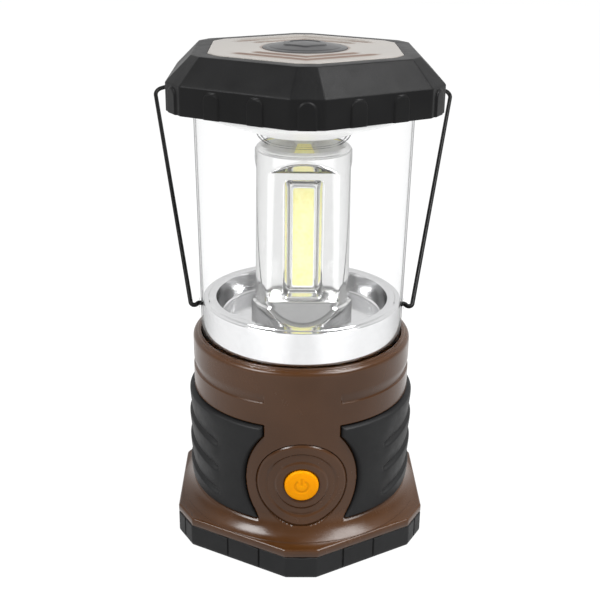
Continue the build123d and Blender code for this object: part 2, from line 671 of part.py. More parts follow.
# ---- battery cover ------------------------------------------------------------------
def make_cover():
    low = 2.4
    cover = disc(COLLAR_R - 0.1, low, 8.4)
    cover = chamfer(cover.edges().sort_by(Axis.Z)[0], 0.8)
    cover += tube(COLLAR_R - 0.1, 50.2, 8.0, 21.0)
    cover += disc(44, 8.0, 11.4) - disc(41.5, 8.4, 12)
    cover += block((-42, 42), (-1, 1), (8, 11.4)) + block((-1, 1), (-42, 42), (8, 11.4))
    cover -= tube(60, COLLAR_R - 1.75, 15.1, 16.9)
    for y in (-CELL_PITCH / 2, CELL_PITCH / 2):
        cover += block((-24, 24), (y - 6, y + 6), (8, 11.4))
    # well for the folded loop, with blind holes for its pins
    well = block((-16.6, 16.6), (-37, 4.5), (low - 1, 6.9))
    cover -= well
    cover -= rod_x(1.32, -19.4, 19.4, 0, 4.6)
    # finger grips on the underside
    for side in (-1, 1):
        dent = block((side * 34 - 4.5, side * 34 + 4.5), (-16, 16), (low - 1, 6.4))
        cover -= fillet(dent.edges().filter_by(Axis.Z), 4.0)
    return cover


def make_loop():
    """Hanging loop folded flat into the cover."""
    z = 4.6
    half = [(19.2, 0.0), (14.2, 0.0), (14.2, -34.4)]
    points = [(x, y, z) for x, y in half] + [(-x, y, z) for x, y in reversed(half)]
    return wire(points, [2.2, 9.0, 9.0, 2.2], 1.25)


def make_contact_plates():
    plates = []
    for y in (-CELL_PITCH / 2, CELL_PITCH / 2):
        plates.append(block((-22.5, 22.5), (y - 5.5, y + 5.5), (11.4, 11.9)))
    return plates


def make_contact_springs():
    springs = []
    for x, y in cell_centres():
        coil = Helix(pitch=1.85, height=4.6, radius=6.0, cone_angle=-14)
        section = Plane(origin=coil @ 0, z_dir=coil % 0) * Circle(0.5)
        spring = sweep(section, path=coil, is_frenet=True)
        springs.append(Pos(x, y, 12.42) * spring)
    return springs


# ---- screws -------------------------------------------------------------------------
def make_screws():
    cap = screw(2.7, CAP_LOW_Z + 0.5, CAP_LOW_Z + 1.6, 1.3, GLOBE_FLANGE_Z + 7)
    cradle = screw(2.7, CRADLE_TOP_Z - 4.5, CRADLE_TOP_Z - 2.5, 1.4, CRADLE_TOP_Z + 7)
    reflector = screw(3.0, DECK_LOW_Z - 2.0, DECK_LOW_Z, 1.4, 110.5)
    column = screw(2.0, 115.9, DISH_FLOOR_Z - 1.6, 0.9, 121.0)
    board = screw(2.2, 90.6, 92.2, 1.0, 85)
    sets = {
        "cap_screws": (cap, 62.2, range(30, 390, 60)),
        "cradle_screws": (cradle, 49, (45, 135, 225, 315)),
        "reflector_screws": (reflector, 41, (30, 150, 270)),
        "column_screws": (column, 22.9, (30, 150, 270)),
        "board_screws": (board, 28, (90, 210, 330)),
    }
    made = {}
    for name, (piece, radius, angles) in sets.items():
        made[name] = round_about(Pos(radius, 0, 0) * piece, angles)
    return made


# ---- the assembly -------------------------------------------------------------------
def drill_column(column):
    for angle in (30, 150, 270):
        column -= Rot(0, 0, angle) * Pos(22.9, 0, 0) * disc(0.9, DISH_FLOOR_Z - 1, 121.0)
    return column


def make_nodes():
    nodes = {
        "base_housing": make_housing(),
        "grip_left": make_grip(-1),
        "grip_right": make_grip(1),
        "foot_ring": make_foot_ring(),
        "battery_cradle": make_cradle(),
        "d_cells": make_cells(),
        "upper_contacts": make_upper_contacts(),
        "driver_board": make_driver_board(),
        "driver_parts": make_driver_parts(),
        "leads": make_leads(),
        "switch_board": make_switch_board(),
        "tact_switch": make_tact_switch(),
        "switch_screws": make_switch_screws(),
        "lower_reflector": make_lower_reflector(),
        "light_column": drill_column(make_column()),
        "column_cap": make_column_cap(),
        "heat_sink": make_heat_sink(),
        "led_boards": make_led_boards(),
        "led_frames": make_led_frames(),
        "led_strips": make_led_strips(),
        "power_button": make_button(),
        "globe_seal": make_seal(DISH_R - 0.22, 0.8, 107.5),
        "globe": make_globe(),
        "globe_top": make_globe_top(),
        "cap_shell": make_cap(),
        "cap_underplate": make_underplate(),
        "cap_plate": make_cap_plate(),
        "cap_medallion": make_medallion(),
        "bail": make_bail(),
        "cover_seal": make_seal(COLLAR_R - 0.9, 0.85, 16.0),
        "battery_cover": make_cover(),
        "hanging_loop": make_loop(),
        "contact_plates": make_contact_plates(),
        "contact_springs": make_contact_springs(),
    }
    nodes.update(make_screws())
    return nodes


os.makedirs("parts", exist_ok=True)
for node, shape in make_nodes().items():
    if isinstance(shape, list):
        shape = Compound(children=shape)
    export_step(shape, f"parts/{node}.step")
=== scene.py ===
"""Camping lantern: the visible surfaces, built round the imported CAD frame.

Shapes are worked out in millimetres in the CAD frame (+Z up, front towards -Y) and written
to meshes in metres. Azimuth is measured from the front towards +X.
"""
import json
import math

import bmesh
import bpy
import numpy as np
from mathutils import Matrix


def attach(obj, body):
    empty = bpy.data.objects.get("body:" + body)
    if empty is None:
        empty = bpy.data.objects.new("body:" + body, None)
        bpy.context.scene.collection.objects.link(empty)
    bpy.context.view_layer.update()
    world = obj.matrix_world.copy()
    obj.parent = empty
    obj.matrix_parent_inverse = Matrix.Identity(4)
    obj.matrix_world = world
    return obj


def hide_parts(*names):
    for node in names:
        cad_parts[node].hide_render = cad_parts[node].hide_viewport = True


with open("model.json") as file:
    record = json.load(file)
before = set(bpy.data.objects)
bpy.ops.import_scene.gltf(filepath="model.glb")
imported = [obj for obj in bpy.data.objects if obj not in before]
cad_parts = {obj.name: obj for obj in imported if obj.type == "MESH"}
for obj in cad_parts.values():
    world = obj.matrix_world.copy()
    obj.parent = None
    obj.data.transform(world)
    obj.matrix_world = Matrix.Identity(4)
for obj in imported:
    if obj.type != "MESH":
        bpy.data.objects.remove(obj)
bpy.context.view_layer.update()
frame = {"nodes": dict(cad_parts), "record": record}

MM = 0.001

# ---- driving dimensions, in millimetres ----------------------------------------------
HEX_APOTHEM = 66.1
HEX_CORNER = 71.8
FOOT_APOTHEM = 66.7
FOOT_CORNER = 72.4
CORNER_ROUND = 1.6
PLATE_APOTHEM = 46.5
PLATE_CORNER = 51.0
# hexagons as (apothem, reach of the cut corners, rounding)
CAP_HEX = (HEX_APOTHEM, HEX_CORNER, CORNER_ROUND)
FOOT_HEX = (FOOT_APOTHEM, FOOT_CORNER, CORNER_ROUND)
FLANGE_HEX = (FOOT_APOTHEM + 0.1, FOOT_CORNER - 0.2, CORNER_ROUND)
PLATE_HEX = (PLATE_APOTHEM, PLATE_CORNER, 2.5)
MARK_HEX = (10.5, 11.6, 1.5)
BASE_R = 58.5
FOOT_TOP = 12.9
FLANGE_TOP = 17.3
COVE_R = 66.2
COVE_LOW = 17.9
COVE_TOP = 30.7
SHOULDER = 107.4
HOUSING_TOP = 111.8
HOUSING_BORE_R = 55.4
SOCKET_R = 53.94
BAND_LOW = 92.5
BAND_TOP = 98.6
BAND_GAP = 19.5
GRIP_R = 60.8
GRIP_SEAT_R = 57.5
GRIP_LOW = 25.5
GRIP_TOP = 79.5
GRIP_CORNER_X = 20.2
GRIP_ARC_R = 40.6
GRIP_ARC_X = -11.1
GRIP_ARC_Z = 48.1
GRIP_BACK = 157.0
CREASES = (62.5, 48.0, 33.5)
CREASE_START = 47.0
CREASE_CLIMB = 3.5
NEAR_GROOVE = 13.1
FAR_GROOVE = -6.1
SIDE_GROOVE = 9.6
NOTCH_W = 7.4
GROOVE_TURN = 0.44
GROOVE_DEPTH = 0.9
BUTTON_Z = 47.4
BUTTON_R = 8.8
BUTTON_FACE_Y = -59.5
BUTTON_BORE_R = 9.05
BUTTON_EDGE = 1.2
RING_R = 23.45
GLOBE_LOW = 104.0
GLOBE_FOOT_R = 53.84
GLOBE_HEAD_R = 55.72
GLOBE_FLANGE = 237.0
GLOBE_WALL = 0.8
LID_FLANGE_R = 58.6
LID_SEAT = 239.0
BOSS_X = 53.75
DISH_R = 52.8
DISH_IN_R = 45.8
DISH_RIM = 130.2
DISH_FLOOR = 119.0
COLUMN_FOOT_R = 25.9
COLUMN_HEAD_R = 24.9
COLUMN_COLLAR_R = 27.0
COLLAR_TOP = 129.6
COLUMN_TOP = 209.6
ROOF_LOW = (22.0, 212.4)
ROOF_HIGH = (9.0, 216.0)
ROOF_TOP = 217.0
PATCH_R = 16.0
PATCH_SEAT = 213.1
PATCH_LENGTH = 9.8
PATCH_LOW_W = 10.4
PATCH_HIGH_W = 6.6
PATCH_DEPTH = 0.97
PANEL_D = 18.2
PANEL_LOW = 132.6
PANEL_TOP = 201.4
PANEL_RISE = 6.4
WINDOW_HALF_W = 10.1
WINDOW_LOW = 134.6
WINDOW_TOP = 198.0
WINDOW_CORNER = 2.6
WINDOW_DEPTH = 4.4
WINDOW_BEVEL = 3.1
LED_D = 14.7
LED_LOW = 139.7
LED_TOP = 193.8
LED_W = 12.2
LED_CORNER = 1.4
DAM_WALL = 0.9
CAP_LOW = 234.2
CAP_RIM = 247.8
CAP_TOP = 260.0
PAD_W = 8.6
PAD_RISE = 0.85
PAD_T = 11.5
PAD_TOP = CAP_LOW + 12.6
CAP_INSET = 12.7
MEDALLION_R = 21.0
CHEVRONS = ((34.4, 37.0), (26.6, 27.0))
BAIL_Z = 125.0
BAIL_LEAN = 50.5
BAIL_R = 1.225
BAIL_SKEW = 1.8

# ---- camera, in millimetres and radians, and the floor, in metres ----------------------
CAMERA_PLACE = (0.23, -515.08, 329.56)
CAMERA_LENS = 61.63
CAMERA_ORBIT = math.radians(-1.2)
CAMERA_YAW = 0.0022
CAMERA_TILT = math.radians(90 - 21.48)
CAMERA_ROLL = 0.0124
FLOOR_REACH = 3

# ---- each piece: (body it rides on, material, CAD node it replaces) --------------------
PIECES = {
    "housing": ("base", "brown_plastic", "base_housing"),
    "rubber_foot": ("base", "black_rubber", "foot_ring"),
    "grip_left_rubber": ("base", "black_rubber", "grip_left"),
    "grip_right_rubber": ("base", "black_rubber", "grip_right"),
    "button_cap": ("button", "orange_rubber", "power_button"),
    "clear_globe": ("head", "clear_plastic", "globe"),
    "dish": ("base", "dish_plating", "lower_reflector"),
    "globe_lid": ("head", "backed_lid", "globe_top"),
    "column_shell": ("base", "chrome_plating", "light_column"),
    "column_disc": ("base", "brown_plastic", "column_cap"),
    "phosphor_strips": ("base", "phosphor", "led_strips"),
    "strip_dams": ("base", "led_dam", "led_frames"),
    "cap": ("head", "black_plastic", "cap_shell"),
    "cap_inlay_plate": ("head", "cap_inlay", "cap_plate"),
    "medallion_dome": ("head", "medallion", "cap_medallion"),
    "bail_wire": ("bail", "black_wire", "bail"),
}
# every material, by its name, which the CAD nodes' slots also use
MATERIALS = {}


# ---- small maths ---------------------------------------------------------------------
def smooth(x, low, high):
    """0 below low, 1 above high, and a soft step between."""
    t = np.clip((x - low) / (high - low), 0.0, 1.0)
    return t * t * (3 - 2 * t)


def arc_edge(depth, radius):
    """Height of a rounded edge at a depth inside its outline: 0 at the edge, 1 from radius on."""
    t = np.clip(depth / radius, 0.0, 1.0)
    return np.sqrt(np.clip(1 - (1 - t) ** 2, 0, 1))


def soft_min(a, b, width):
    """The smaller of two lengths, with the corner between them rounded over a width."""
    h = np.clip(0.5 + 0.5 * (b - a) / width, 0.0, 1.0)
    return b * (1 - h) + a * h - width * h * (1 - h)


def rounded(corners, closed=True, step=15.0):
    """Polyline through (x, y, radius) corners, each rounded by an arc of its radius."""
    count = len(corners)
    points = []
    for i, (x, y, radius) in enumerate(corners):
        here = np.array([x, y], float)
        if radius <= 0 or (not closed and i in (0, count - 1)):
            points.append(here)
            continue
        before = np.array(corners[i - 1][:2], float)
        after = np.array(corners[(i + 1) % count][:2], float)
        a = (before - here) / np.linalg.norm(before - here)
        b = (after - here) / np.linalg.norm(after - here)
        half = math.acos(np.clip(a @ b, -1, 1)) / 2
        if half > math.radians(89.5):
            points.append(here)
            continue
        reach = radius / math.tan(half)
        middle = here + (a + b) / np.linalg.norm(a + b) * radius / math.sin(half)
        start = here + a * reach - middle
        end = here + b * reach - middle
        turn = math.pi - 2 * half
        sign = 1.0 if start[0] * end[1] > start[1] * end[0] else -1.0
        steps = max(2, int(math.degrees(turn) / step) + 1)
        for k in range(steps + 1):
            angle = sign * turn * k / steps
            c, s = math.cos(angle), math.sin(angle)
            points.append(middle + np.array([c * start[0] - s * start[1], s * start[0] + c * start[1]]))
    return np.array(points)


def densify(points, longest, closed=False):
    """Adds points along a polyline so that no step is longer than a length."""
    points = np.asarray(points, float)
    ends = np.vstack([points, points[:1]]) if closed else points
    out = [ends[0]]
    for a, b in zip(ends[:-1], ends[1:]):
        steps = max(1, int(math.ceil(np.linalg.norm(b - a) / longest)))
        for k in range(1, steps + 1):
            out.append(a + (b - a) * k / steps)
    out = np.array(out)
    return out[:-1] if closed else out


def wrap(angle):
    """The same angle in degrees, from -180 up to 180."""
    return (angle + 180) % 360 - 180


def azimuths(*spans, step=1.5):
    """Sorted azimuths in degrees: a coarse ring and finer (low, high, step) spans."""
    values = list(np.arange(-180, 180, step))
    for low, high, fine in spans:
        values = [v for v in values if not low < v < high]
        values += list(np.arange(low, high + fine / 2, fine))
    return np.array(sorted(set(round(wrap(v), 4) for v in values)))


def ring_azimuths(count):
    """Evenly spaced azimuths in degrees."""
    return np.linspace(-180, 180, count, endpoint=False)


def half_flat(apothem, corner):
    """Half the length of the hexagon's long flats, between its cut corners."""
    return (corner - apothem * math.cos(math.radians(30))) / math.sin(math.radians(30))


def hex_radius(azimuth, hexagon, inset=0.0):
    """Distance from the axis to the hexagon's rounded outline, at each azimuth in degrees."""
    apothem, corner, radius = hexagon[0] - inset, hexagon[1] - inset, hexagon[2]
    half = half_flat(apothem, corner)
    corners = []
    for k in range(6):
        angle = math.radians(60 * k)
        for side in (-1, 1):
            x = apothem * math.cos(angle) - side * half * math.sin(angle)
            y = apothem * math.sin(angle) + side * half * math.cos(angle)
            corners.append((x, y, radius))
    outline = densify(rounded(corners, step=6), 0.4, closed=True)
    around = np.degrees(np.arctan2(outline[:, 0], -outline[:, 1]))
    order = np.argsort(around)
    around = around[order]
    reach = np.hypot(outline[:, 0], outline[:, 1])[order]
    around = np.concatenate([around - 360, around, around + 360])
    return np.interp(azimuth, around, np.tile(reach, 3))


def hex_azimuths(hexagon, fine, extra):
    """Azimuths that follow the hexagon's rounded corners closely, and extra spans."""
    bend = math.degrees(math.atan2(half_flat(*hexagon[:2]), hexagon[0]))
    spans = []
    for k in range(6):
        for side in (-1, 1):
            at = wrap(90 + 60 * k + side * bend)
            spans.append((at - 2.4, at + 2.4, fine))
    return azimuths(*spans, *extra)


# ---- meshes --------------------------------------------------------------------------
def new_object(name, data):
    thing = bpy.data.objects.new(name, data)
    bpy.context.scene.collection.objects.link(thing)
    return thing


def add_piece(name, shape):
    """Object of a listed piece, from points in millimetres and faces, which are turned outwards."""
    body, material, node = PIECES[name]
    points, faces = shape
    mesh = bpy.data.meshes.new(name)
    mesh.from_pydata((np.asarray(points) * MM).tolist(), [], faces)
    mesh.update()
    mesh.shade_smooth()
    mesh.materials.append(MATERIALS[material])
    thing = new_object(name, mesh)
    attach(thing, body)
    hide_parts(node)
    outward = bmesh.new()
    outward.from_mesh(mesh)
    bmesh.ops.recalc_face_normals(outward, faces=outward.faces)
    outward.to_mesh(mesh)
    outward.free()
    return thing


def point_values(thing, name, values):
    """Stores one number for each point of an object, for its material to read."""
    attribute = thing.data.attributes.new(name, "FLOAT", "POINT")
    attribute.data.foreach_set("value", values.astype(np.float32))


def grid_quads(rows, columns, wrap_rows, wrap_columns):
    """Faces between neighbouring points of a grid that is stored row by row."""
    r = np.arange(rows if wrap_rows else rows - 1)
    c = np.arange(columns if wrap_columns else columns - 1)
    r, c = np.meshgrid(r, c, indexing="ij")
    r2, c2 = (r + 1) % rows, (c + 1) % columns
    quads = np.stack([r * columns + c, r * columns + c2, r2 * columns + c2, r2 * columns + c], -1)
    return quads.reshape(-1, 4).tolist()


def end_faces(rows, columns):
    """Faces that fill in the first and the last row of a grid."""
    return [list(reversed(range(columns))), list(range((rows - 1) * columns, rows * columns))]


def on_wall(radius, angle, z):
    """Points at a radius, an angle from the front and a height."""
    return np.stack([radius * np.sin(angle), -radius * np.cos(angle), z], -1)


def ring_solid(rows, azimuth, caps=False):
    """Points and faces of a solid whose rows are (radius, height) along the azimuths.

    Each row's radius and height may be a number or one value for each azimuth. The last row
    joins the first, or else caps fills in both of them with a fan."""
    angle = np.radians(azimuth)
    layers = []
    for radius, height in rows:
        radius = np.broadcast_to(np.asarray(radius, float), angle.shape)
        height = np.broadcast_to(np.asarray(height, float), angle.shape)
        layers.append(on_wall(radius, angle, height))
    points = np.array(layers).reshape(-1, 3)
    count = len(azimuth)
    faces = grid_quads(len(rows), count, not caps, True)
    if caps:
        for row in (0, len(rows) - 1):
            ring = points[row * count:(row + 1) * count]
            centre = len(points)
            points = np.vstack([points, [[0, 0, ring[:, 2].mean()]]])
            for c in range(count):
                a, b = row * count + c, row * count + (c + 1) % count
                faces.append([b, a, centre] if row == 0 else [a, b, centre])
    return points, faces


def lathe(corners, segments, longest, step=15.0):
    """Turned solid from a closed (radius, height, rounding) outline."""
    outline = densify(rounded(corners, step=step), longest, closed=True)
    return ring_solid(outline, ring_azimuths(segments))


def join_shapes(shapes):
    """One list of points and faces from several."""
    points, faces = [], []
    for more_points, more_faces in shapes:
        start = sum(len(p) for p in points)
        points.append(np.asarray(more_points))
        faces += [[i + start for i in face] for face in more_faces]
    return np.vstack(points), faces


def slab(outline, low, high, edge):
    """Flat solid over a closed outline in X and Y, its rims rounded by shrinking the outline."""
    centre = outline.mean(0)
    layers = []
    angles = [math.pi / 2 * k / 3 for k in range(4)]
    profile = [(edge * (1 - math.sin(a)), low + edge * (1 - math.cos(a))) for a in reversed(angles)]
    profile += [(edge * (1 - math.sin(a)), high - edge * (1 - math.cos(a))) for a in angles]
    reach = np.abs(outline - centre).max()
    ordered = sorted(profile, key=lambda pair: pair[1])
    for inset, z in ordered:
        shape = centre + (outline - centre) * (1 - inset / reach)
        layers.append(np.column_stack([shape, np.full(len(shape), z)]))
    size = len(layers), len(outline)
    return np.vstack(layers), grid_quads(*size, False, True) + end_faces(*size)


def placed(shape, matrix):
    """Points of a (points, faces) shape moved by a 4x4 matrix in millimetres."""
    points, faces = shape
    m = np.array(matrix)
    return points @ m[:3, :3].T + m[:3, 3], faces


# ---- materials -----------------------------------------------------------------------
class Nodes:
    """The nodes of a material or world, with short calls for what these share."""

    def __init__(self, name, owners=None, out="Material", coords="Object"):
        self.owner = (bpy.data.materials if owners is None else owners).new(name)
        self.owner.use_nodes = True
        self.tree = self.owner.node_tree
        self.tree.nodes.clear()
        self.out = self.add("ShaderNodeOutput" + out)
        self.place = self.add("ShaderNodeTexCoord").outputs[coords]

    def add(self, kind, inputs=(), **settings):
        """New node with its settings made and its inputs set, or linked where they are sockets."""
        node = self.tree.nodes.new(kind)
        for key, value in settings.items():
            setattr(node, key, value)
        for key, value in dict(inputs).items():
            self.put(node, key, value)
        return node

    def put(self, node, key, value):
        if isinstance(value, bpy.types.NodeSocket):
            self.tree.links.new(value, node.inputs[key])
        else:
            node.inputs[key].default_value = value

    def noise(self, scale, detail=4.0, rough=0.55, stretch=None):
        """Noise with about scale cells per metre, stretched by a vector where one is given."""
        place = self.place
        if stretch:
            place = self.add("ShaderNodeMapping", {"Vector": place, "Scale": stretch}).outputs["Vector"]
        inputs = {"Vector": place, "Scale": scale, "Detail": detail, "Roughness": rough}
        return self.add("ShaderNodeTexNoise", inputs).outputs["Fac"]

    def cells(self, scale, feature="F1"):
        inputs = {"Vector": self.place, "Scale": scale}
        return self.add("ShaderNodeTexVoronoi", inputs, feature=feature).outputs["Distance"]

    def ramp(self, value, low, high, out_low=0.0, out_high=1.0, **settings):
        inputs = {"Value": value, "From Min": low, "From Max": high, "To Min": out_low, "To Max": out_high}
        return self.add("ShaderNodeMapRange", inputs, **settings).outputs["Result"]

    def spread(self, noise, low=0.0, high=1.0):
        """A noise's usual values, stretched out over a range."""
        return self.ramp(noise, 0.3, 0.7, low, high)

    def mix(self, factor, a, b):
        a, b = (c if isinstance(c, bpy.types.NodeSocket) else (*c[:3], 1.0) for c in (a, b))
        return self.add("ShaderNodeMix", {"Factor": factor, 6: a, 7: b}, data_type="RGBA").outputs[2]

    def drifted(self, value, color, low, high):
        """A colour that drifts between two brightnesses as a noise does."""
        shades = [[min(1.0, c * share) for c in color] for share in (low, high)]
        return self.mix(self.spread(value), *shades)

    def times(self, a, b, operation="MULTIPLY"):
        """The product of two values, or what another operation makes of them."""
        return self.add("ShaderNodeMath", {0: a, 1: b}, operation=operation).outputs[0]

    def bump(self, height, strength, distance, normal=None):
        inputs = {"Strength": strength, "Distance": distance, "Height": height}
        if normal:
            inputs["Normal"] = normal
        return self.add("ShaderNodeBump", inputs).outputs["Normal"]

    def surface(self, **inputs):
        inputs = {key.replace("_", " "): value for key, value in inputs.items()}
        self.show(self.add("ShaderNodeBsdfPrincipled", inputs))

    def show(self, shader):
        self.put(self.out, "Surface", shader.outputs[0])

    def attribute(self, name):
        return self.add("ShaderNodeAttribute", attribute_name=name).outputs["Fac"]

    def edges(self):
        """Above 0.5 on outer edges and below it in inner corners."""
        return self.add("ShaderNodeNewGeometry").outputs["Pointiness"]

    def axis(self, name):
        """One coordinate of the place."""
        return self.add("ShaderNodeSeparateXYZ", {0: self.place}).outputs[name]


def plastic(name, color, roughness, grain, depth, fleck=0.0, edge=0.35, specular=0.5):
    """Moulded plastic: fine spark-eroded grain, slow colour drift, scuffed corners, optional fleck."""
    n = Nodes(name)
    drift = n.noise(18.0, 3.0)
    fine = n.noise(grain, 2.0, 0.7)
    scuff = n.noise(120.0, 6.0, 0.7)
    dark = [c * 0.82 for c in color]
    light = [min(1.0, c * 1.16 + 0.004) for c in color]
    base = n.mix(n.spread(drift), dark, light)
    if fleck:
        sparkle = n.ramp(n.cells(grain * 1.6), 0.0, 0.16, 1.0, 0.0)
        base = n.mix(n.times(sparkle, fleck), base, [min(1, c * 3.2 + 0.05) for c in color])
    worn = n.times(n.ramp(n.edges(), 0.52, 0.60), n.ramp(scuff, 0.42, 0.66))
    base = n.mix(n.times(worn, edge), base, [min(1, c * 2.4 + 0.03) for c in color])
    rough = n.ramp(n.times(drift, scuff, "ADD"), 0.7, 1.3, roughness - 0.07, roughness + 0.09)
    n.surface(Base_Color=base, Roughness=rough, Normal=n.bump(fine, depth, 0.0001), Specular_IOR_Level=specular)
    return n.owner


def plated(name, color, roughness, streak=None, wave=0.03, satin_from=None, edge=1.0):
    """Vacuum-plated plastic: mirror metal over slightly uneven moulded skin, satin above a height."""
    n = Nodes(name)
    slow = n.noise(35.0, 2.0)
    film = n.noise(260.0, 5.0, 0.6)
    lines = n.noise(300.0, 3.0, 0.6, stretch=streak) if streak else film
    base = n.mix(n.ramp(film, 0.35, 0.7), color, [c * 0.965 for c in color])
    rough = n.ramp(n.times(lines, film, "ADD"), 0.7, 1.3, roughness * 0.75, roughness * 1.35)
    if satin_from is not None:
        satin = n.ramp(n.axis("Z"), satin_from * MM, (satin_from + 1.0) * MM, 0.0, 0.22)
        rough = n.times(rough, satin, "ADD")
        base = n.mix(n.times(satin, 4.5), base, (0.97, 0.97, 0.96))
    normal = n.bump(slow, wave, 0.0008)
    normal = n.bump(lines, 0.05, 0.00004, normal)
    n.surface(Base_Color=base, Metallic=1.0, Roughness=rough, Normal=normal,
              Specular_Tint=(edge, edge, edge, 1))
    return n.owner


def rubber(name, color, roughness):
    """Moulded rubber: soft sheen, fine texture, dust in the low places and rubbed edges."""
    n = Nodes(name)
    drift = n.noise(25.0, 3.0)
    fine = n.noise(1100.0, 2.0, 0.75)
    dust = n.noise(160.0, 5.0, 0.7)
    base = n.drifted(drift, color, 0.8, 1.2)
    low = n.ramp(n.edges(), 0.49, 0.44)
    base = n.mix(n.times(low, n.ramp(dust, 0.4, 0.8, 0.0, 0.35)), base, (0.11, 0.105, 0.1))
    high = n.ramp(n.edges(), 0.53, 0.60)
    base = n.mix(n.times(high, n.ramp(dust, 0.35, 0.7, 0.0, 0.4)), base, (0.085, 0.085, 0.088))
    rough = n.spread(dust, roughness - 0.06, roughness + 0.08)
    n.surface(Base_Color=base, Roughness=rough, Normal=n.bump(fine, 0.22, 0.0001), Specular_IOR_Level=0.16)
    return n.owner


def silicone(name, color):
    """Translucent silicone: soft light inside, a satin skin, a trace of dust and painted shade in the sunk mark.
    """
    n = Nodes(name)
    drift = n.noise(60.0, 3.0)
    fine = n.noise(1100.0, 2.0, 0.7)
    dust = n.noise(400.0, 5.0, 0.7)
    base = n.drifted(drift, color, 0.94, 1.06)
    # painted shade: darker where the mark attribute traces the sunk power mark
    base = n.mix(n.times(n.attribute("mark"), 0.45), base, [c * 0.62 for c in color])
    rough = n.spread(dust, 0.40, 0.52)
    n.surface(Base_Color=base, Roughness=rough, Normal=n.bump(fine, 0.10, 0.0001),
              Specular_IOR_Level=0.05, Subsurface_Weight=0.10, Subsurface_Scale=0.002)
    return n.owner


def clear_plastic(name, backed=None, edge_from=0.83, edge_tint=(0.30, 0.305, 0.315)):
    """Clear polycarbonate: see-through, darker and glossier where it turns edge-on.

    Where backed is given, it is backed with white between those two heights and above."""
    n = Nodes(name)
    haze = n.noise(60.0, 4.0)
    facing = n.add("ShaderNodeLayerWeight", {"Blend": 0.5}).outputs["Facing"]
    tint = n.mix(n.ramp(facing, edge_from, edge_from + 0.13), (0.996, 0.997, 0.998), edge_tint)
    see = n.add("ShaderNodeBsdfTransparent", {"Color": tint})
    gloss = n.add("ShaderNodeBsdfGlossy", {"Roughness": n.spread(haze, 0.015, 0.05),
                                           "Normal": n.bump(n.noise(22.0, 2.0), 0.04, 0.0006)})
    share = n.times(n.times(n.times(facing, 6.0, "POWER"), 0.50), 0.012, "ADD")
    both = n.add("ShaderNodeMixShader", {0: share, 1: see.outputs[0], 2: gloss.outputs[0]})
    if backed:
        white = n.mix(haze, (0.90, 0.90, 0.895), (0.95, 0.95, 0.945))
        backing = n.add("ShaderNodeBsdfPrincipled", {"Base Color": white, "Roughness": 0.35})
        share = n.ramp(n.axis("Z"), backed[0] * MM, backed[1] * MM)
        both = n.add("ShaderNodeMixShader", {0: share, 1: both.outputs[0], 2: backing.outputs[0]})
    n.show(both)
    return n.owner


def phosphor(name):
    """Yellow gel over rows of tiny chips, seen faintly through it, with a faint painted glow that brightens it.
    """
    n = Nodes(name)
    chips = n.cells(520.0, "SMOOTH_F1")
    drift = n.noise(140.0, 3.0)
    base = n.mix(n.ramp(chips, 0.1, 0.75), (0.86, 0.80, 0.33), (0.93, 0.90, 0.48))
    base = n.mix(n.ramp(drift, 0.35, 0.7, 0.0, 0.5), base, (0.95, 0.92, 0.56))
    # the emission is a faint painted glow on the gel
    n.surface(Base_Color=base, Roughness=0.5, Normal=n.bump(chips, 0.25, 0.0003), Subsurface_Weight=0.2,
              Subsurface_Scale=0.001, Emission_Color=(0.95, 0.88, 0.40, 1), Emission_Strength=0.10)
    return n.owner


def metal(name, color, roughness):
    """Drawn or turned metal with fine lines and a few scratches."""
    n = Nodes(name)
    lines = n.noise(160.0, 4.0, 0.65, stretch=(40, 40, 1))
    marks = n.noise(500.0, 6.0, 0.7)
    base = n.drifted(lines, color, 0.8, 1.0)
    rough = n.spread(marks, roughness * 0.7, roughness * 1.3)
    n.surface(Base_Color=base, Metallic=1.0, Roughness=rough, Normal=n.bump(lines, 0.15, 0.00008))
    return n.owner


def coated_wire(name):
    """Steel wire with a thin black coat, rubbed where it has been handled."""
    n = Nodes(name)
    wear = n.noise(90.0, 6.0, 0.75)
    fine = n.noise(1500.0, 3.0)
    base = n.mix(n.ramp(wear, 0.70, 0.78), (0.004, 0.004, 0.004), (0.05, 0.05, 0.052))
    rough = n.spread(wear, 0.30, 0.46)
    n.surface(Base_Color=base, Roughness=rough, Normal=n.bump(fine, 0.12, 0.00005),
              Specular_IOR_Level=0.14)
    return n.owner


def circuit(name):
    """Green solder mask with lighter tracks and small pads."""
    n = Nodes(name)
    inputs = {"Vector": n.place, "Scale": 220.0, "Mortar Size": 0.06}
    tracks = n.add("ShaderNodeTexBrick", inputs).outputs["Fac"]
    base = n.mix(tracks, (0.012, 0.11, 0.045), (0.03, 0.2, 0.08))
    spots = n.ramp(n.cells(300.0), 0.10, 0.14, 1.0, 0.0)
    base = n.mix(spots, base, (0.75, 0.62, 0.36))
    n.surface(Base_Color=base, Roughness=0.32, Metallic=n.times(spots, 0.8),
              Normal=n.bump(tracks, 0.3, 0.00005))
    return n.owner


def stepped_inlay(name):
    """The inlay's plastic: painted brown shade in its grooves, the same darker brown in a ring next to the
    medallion, and less gloss wherever it is darker.
    """
    n = Nodes(name)
    drift = n.noise(30.0, 4.0)
    fine = n.noise(1000.0, 2.0, 0.7)
    base = n.mix(n.spread(drift), (0.185, 0.172, 0.158), (0.235, 0.220, 0.203))
    # painted shade: the groove attribute darkens the grooves and the ring by the medallion, and turns their
    # gloss down
    sunk = n.ramp(n.attribute("groove"), 0.15, 0.7)
    base = n.mix(n.times(sunk, 0.80), base, (0.105, 0.066, 0.050))
    rough = n.spread(drift, 0.30, 0.42)
    n.surface(Base_Color=base, Roughness=rough, Normal=n.bump(fine, 0.1, 0.0001),
              Specular_IOR_Level=n.ramp(sunk, 0.0, 1.0, 0.38, 0.18))
    return n.owner


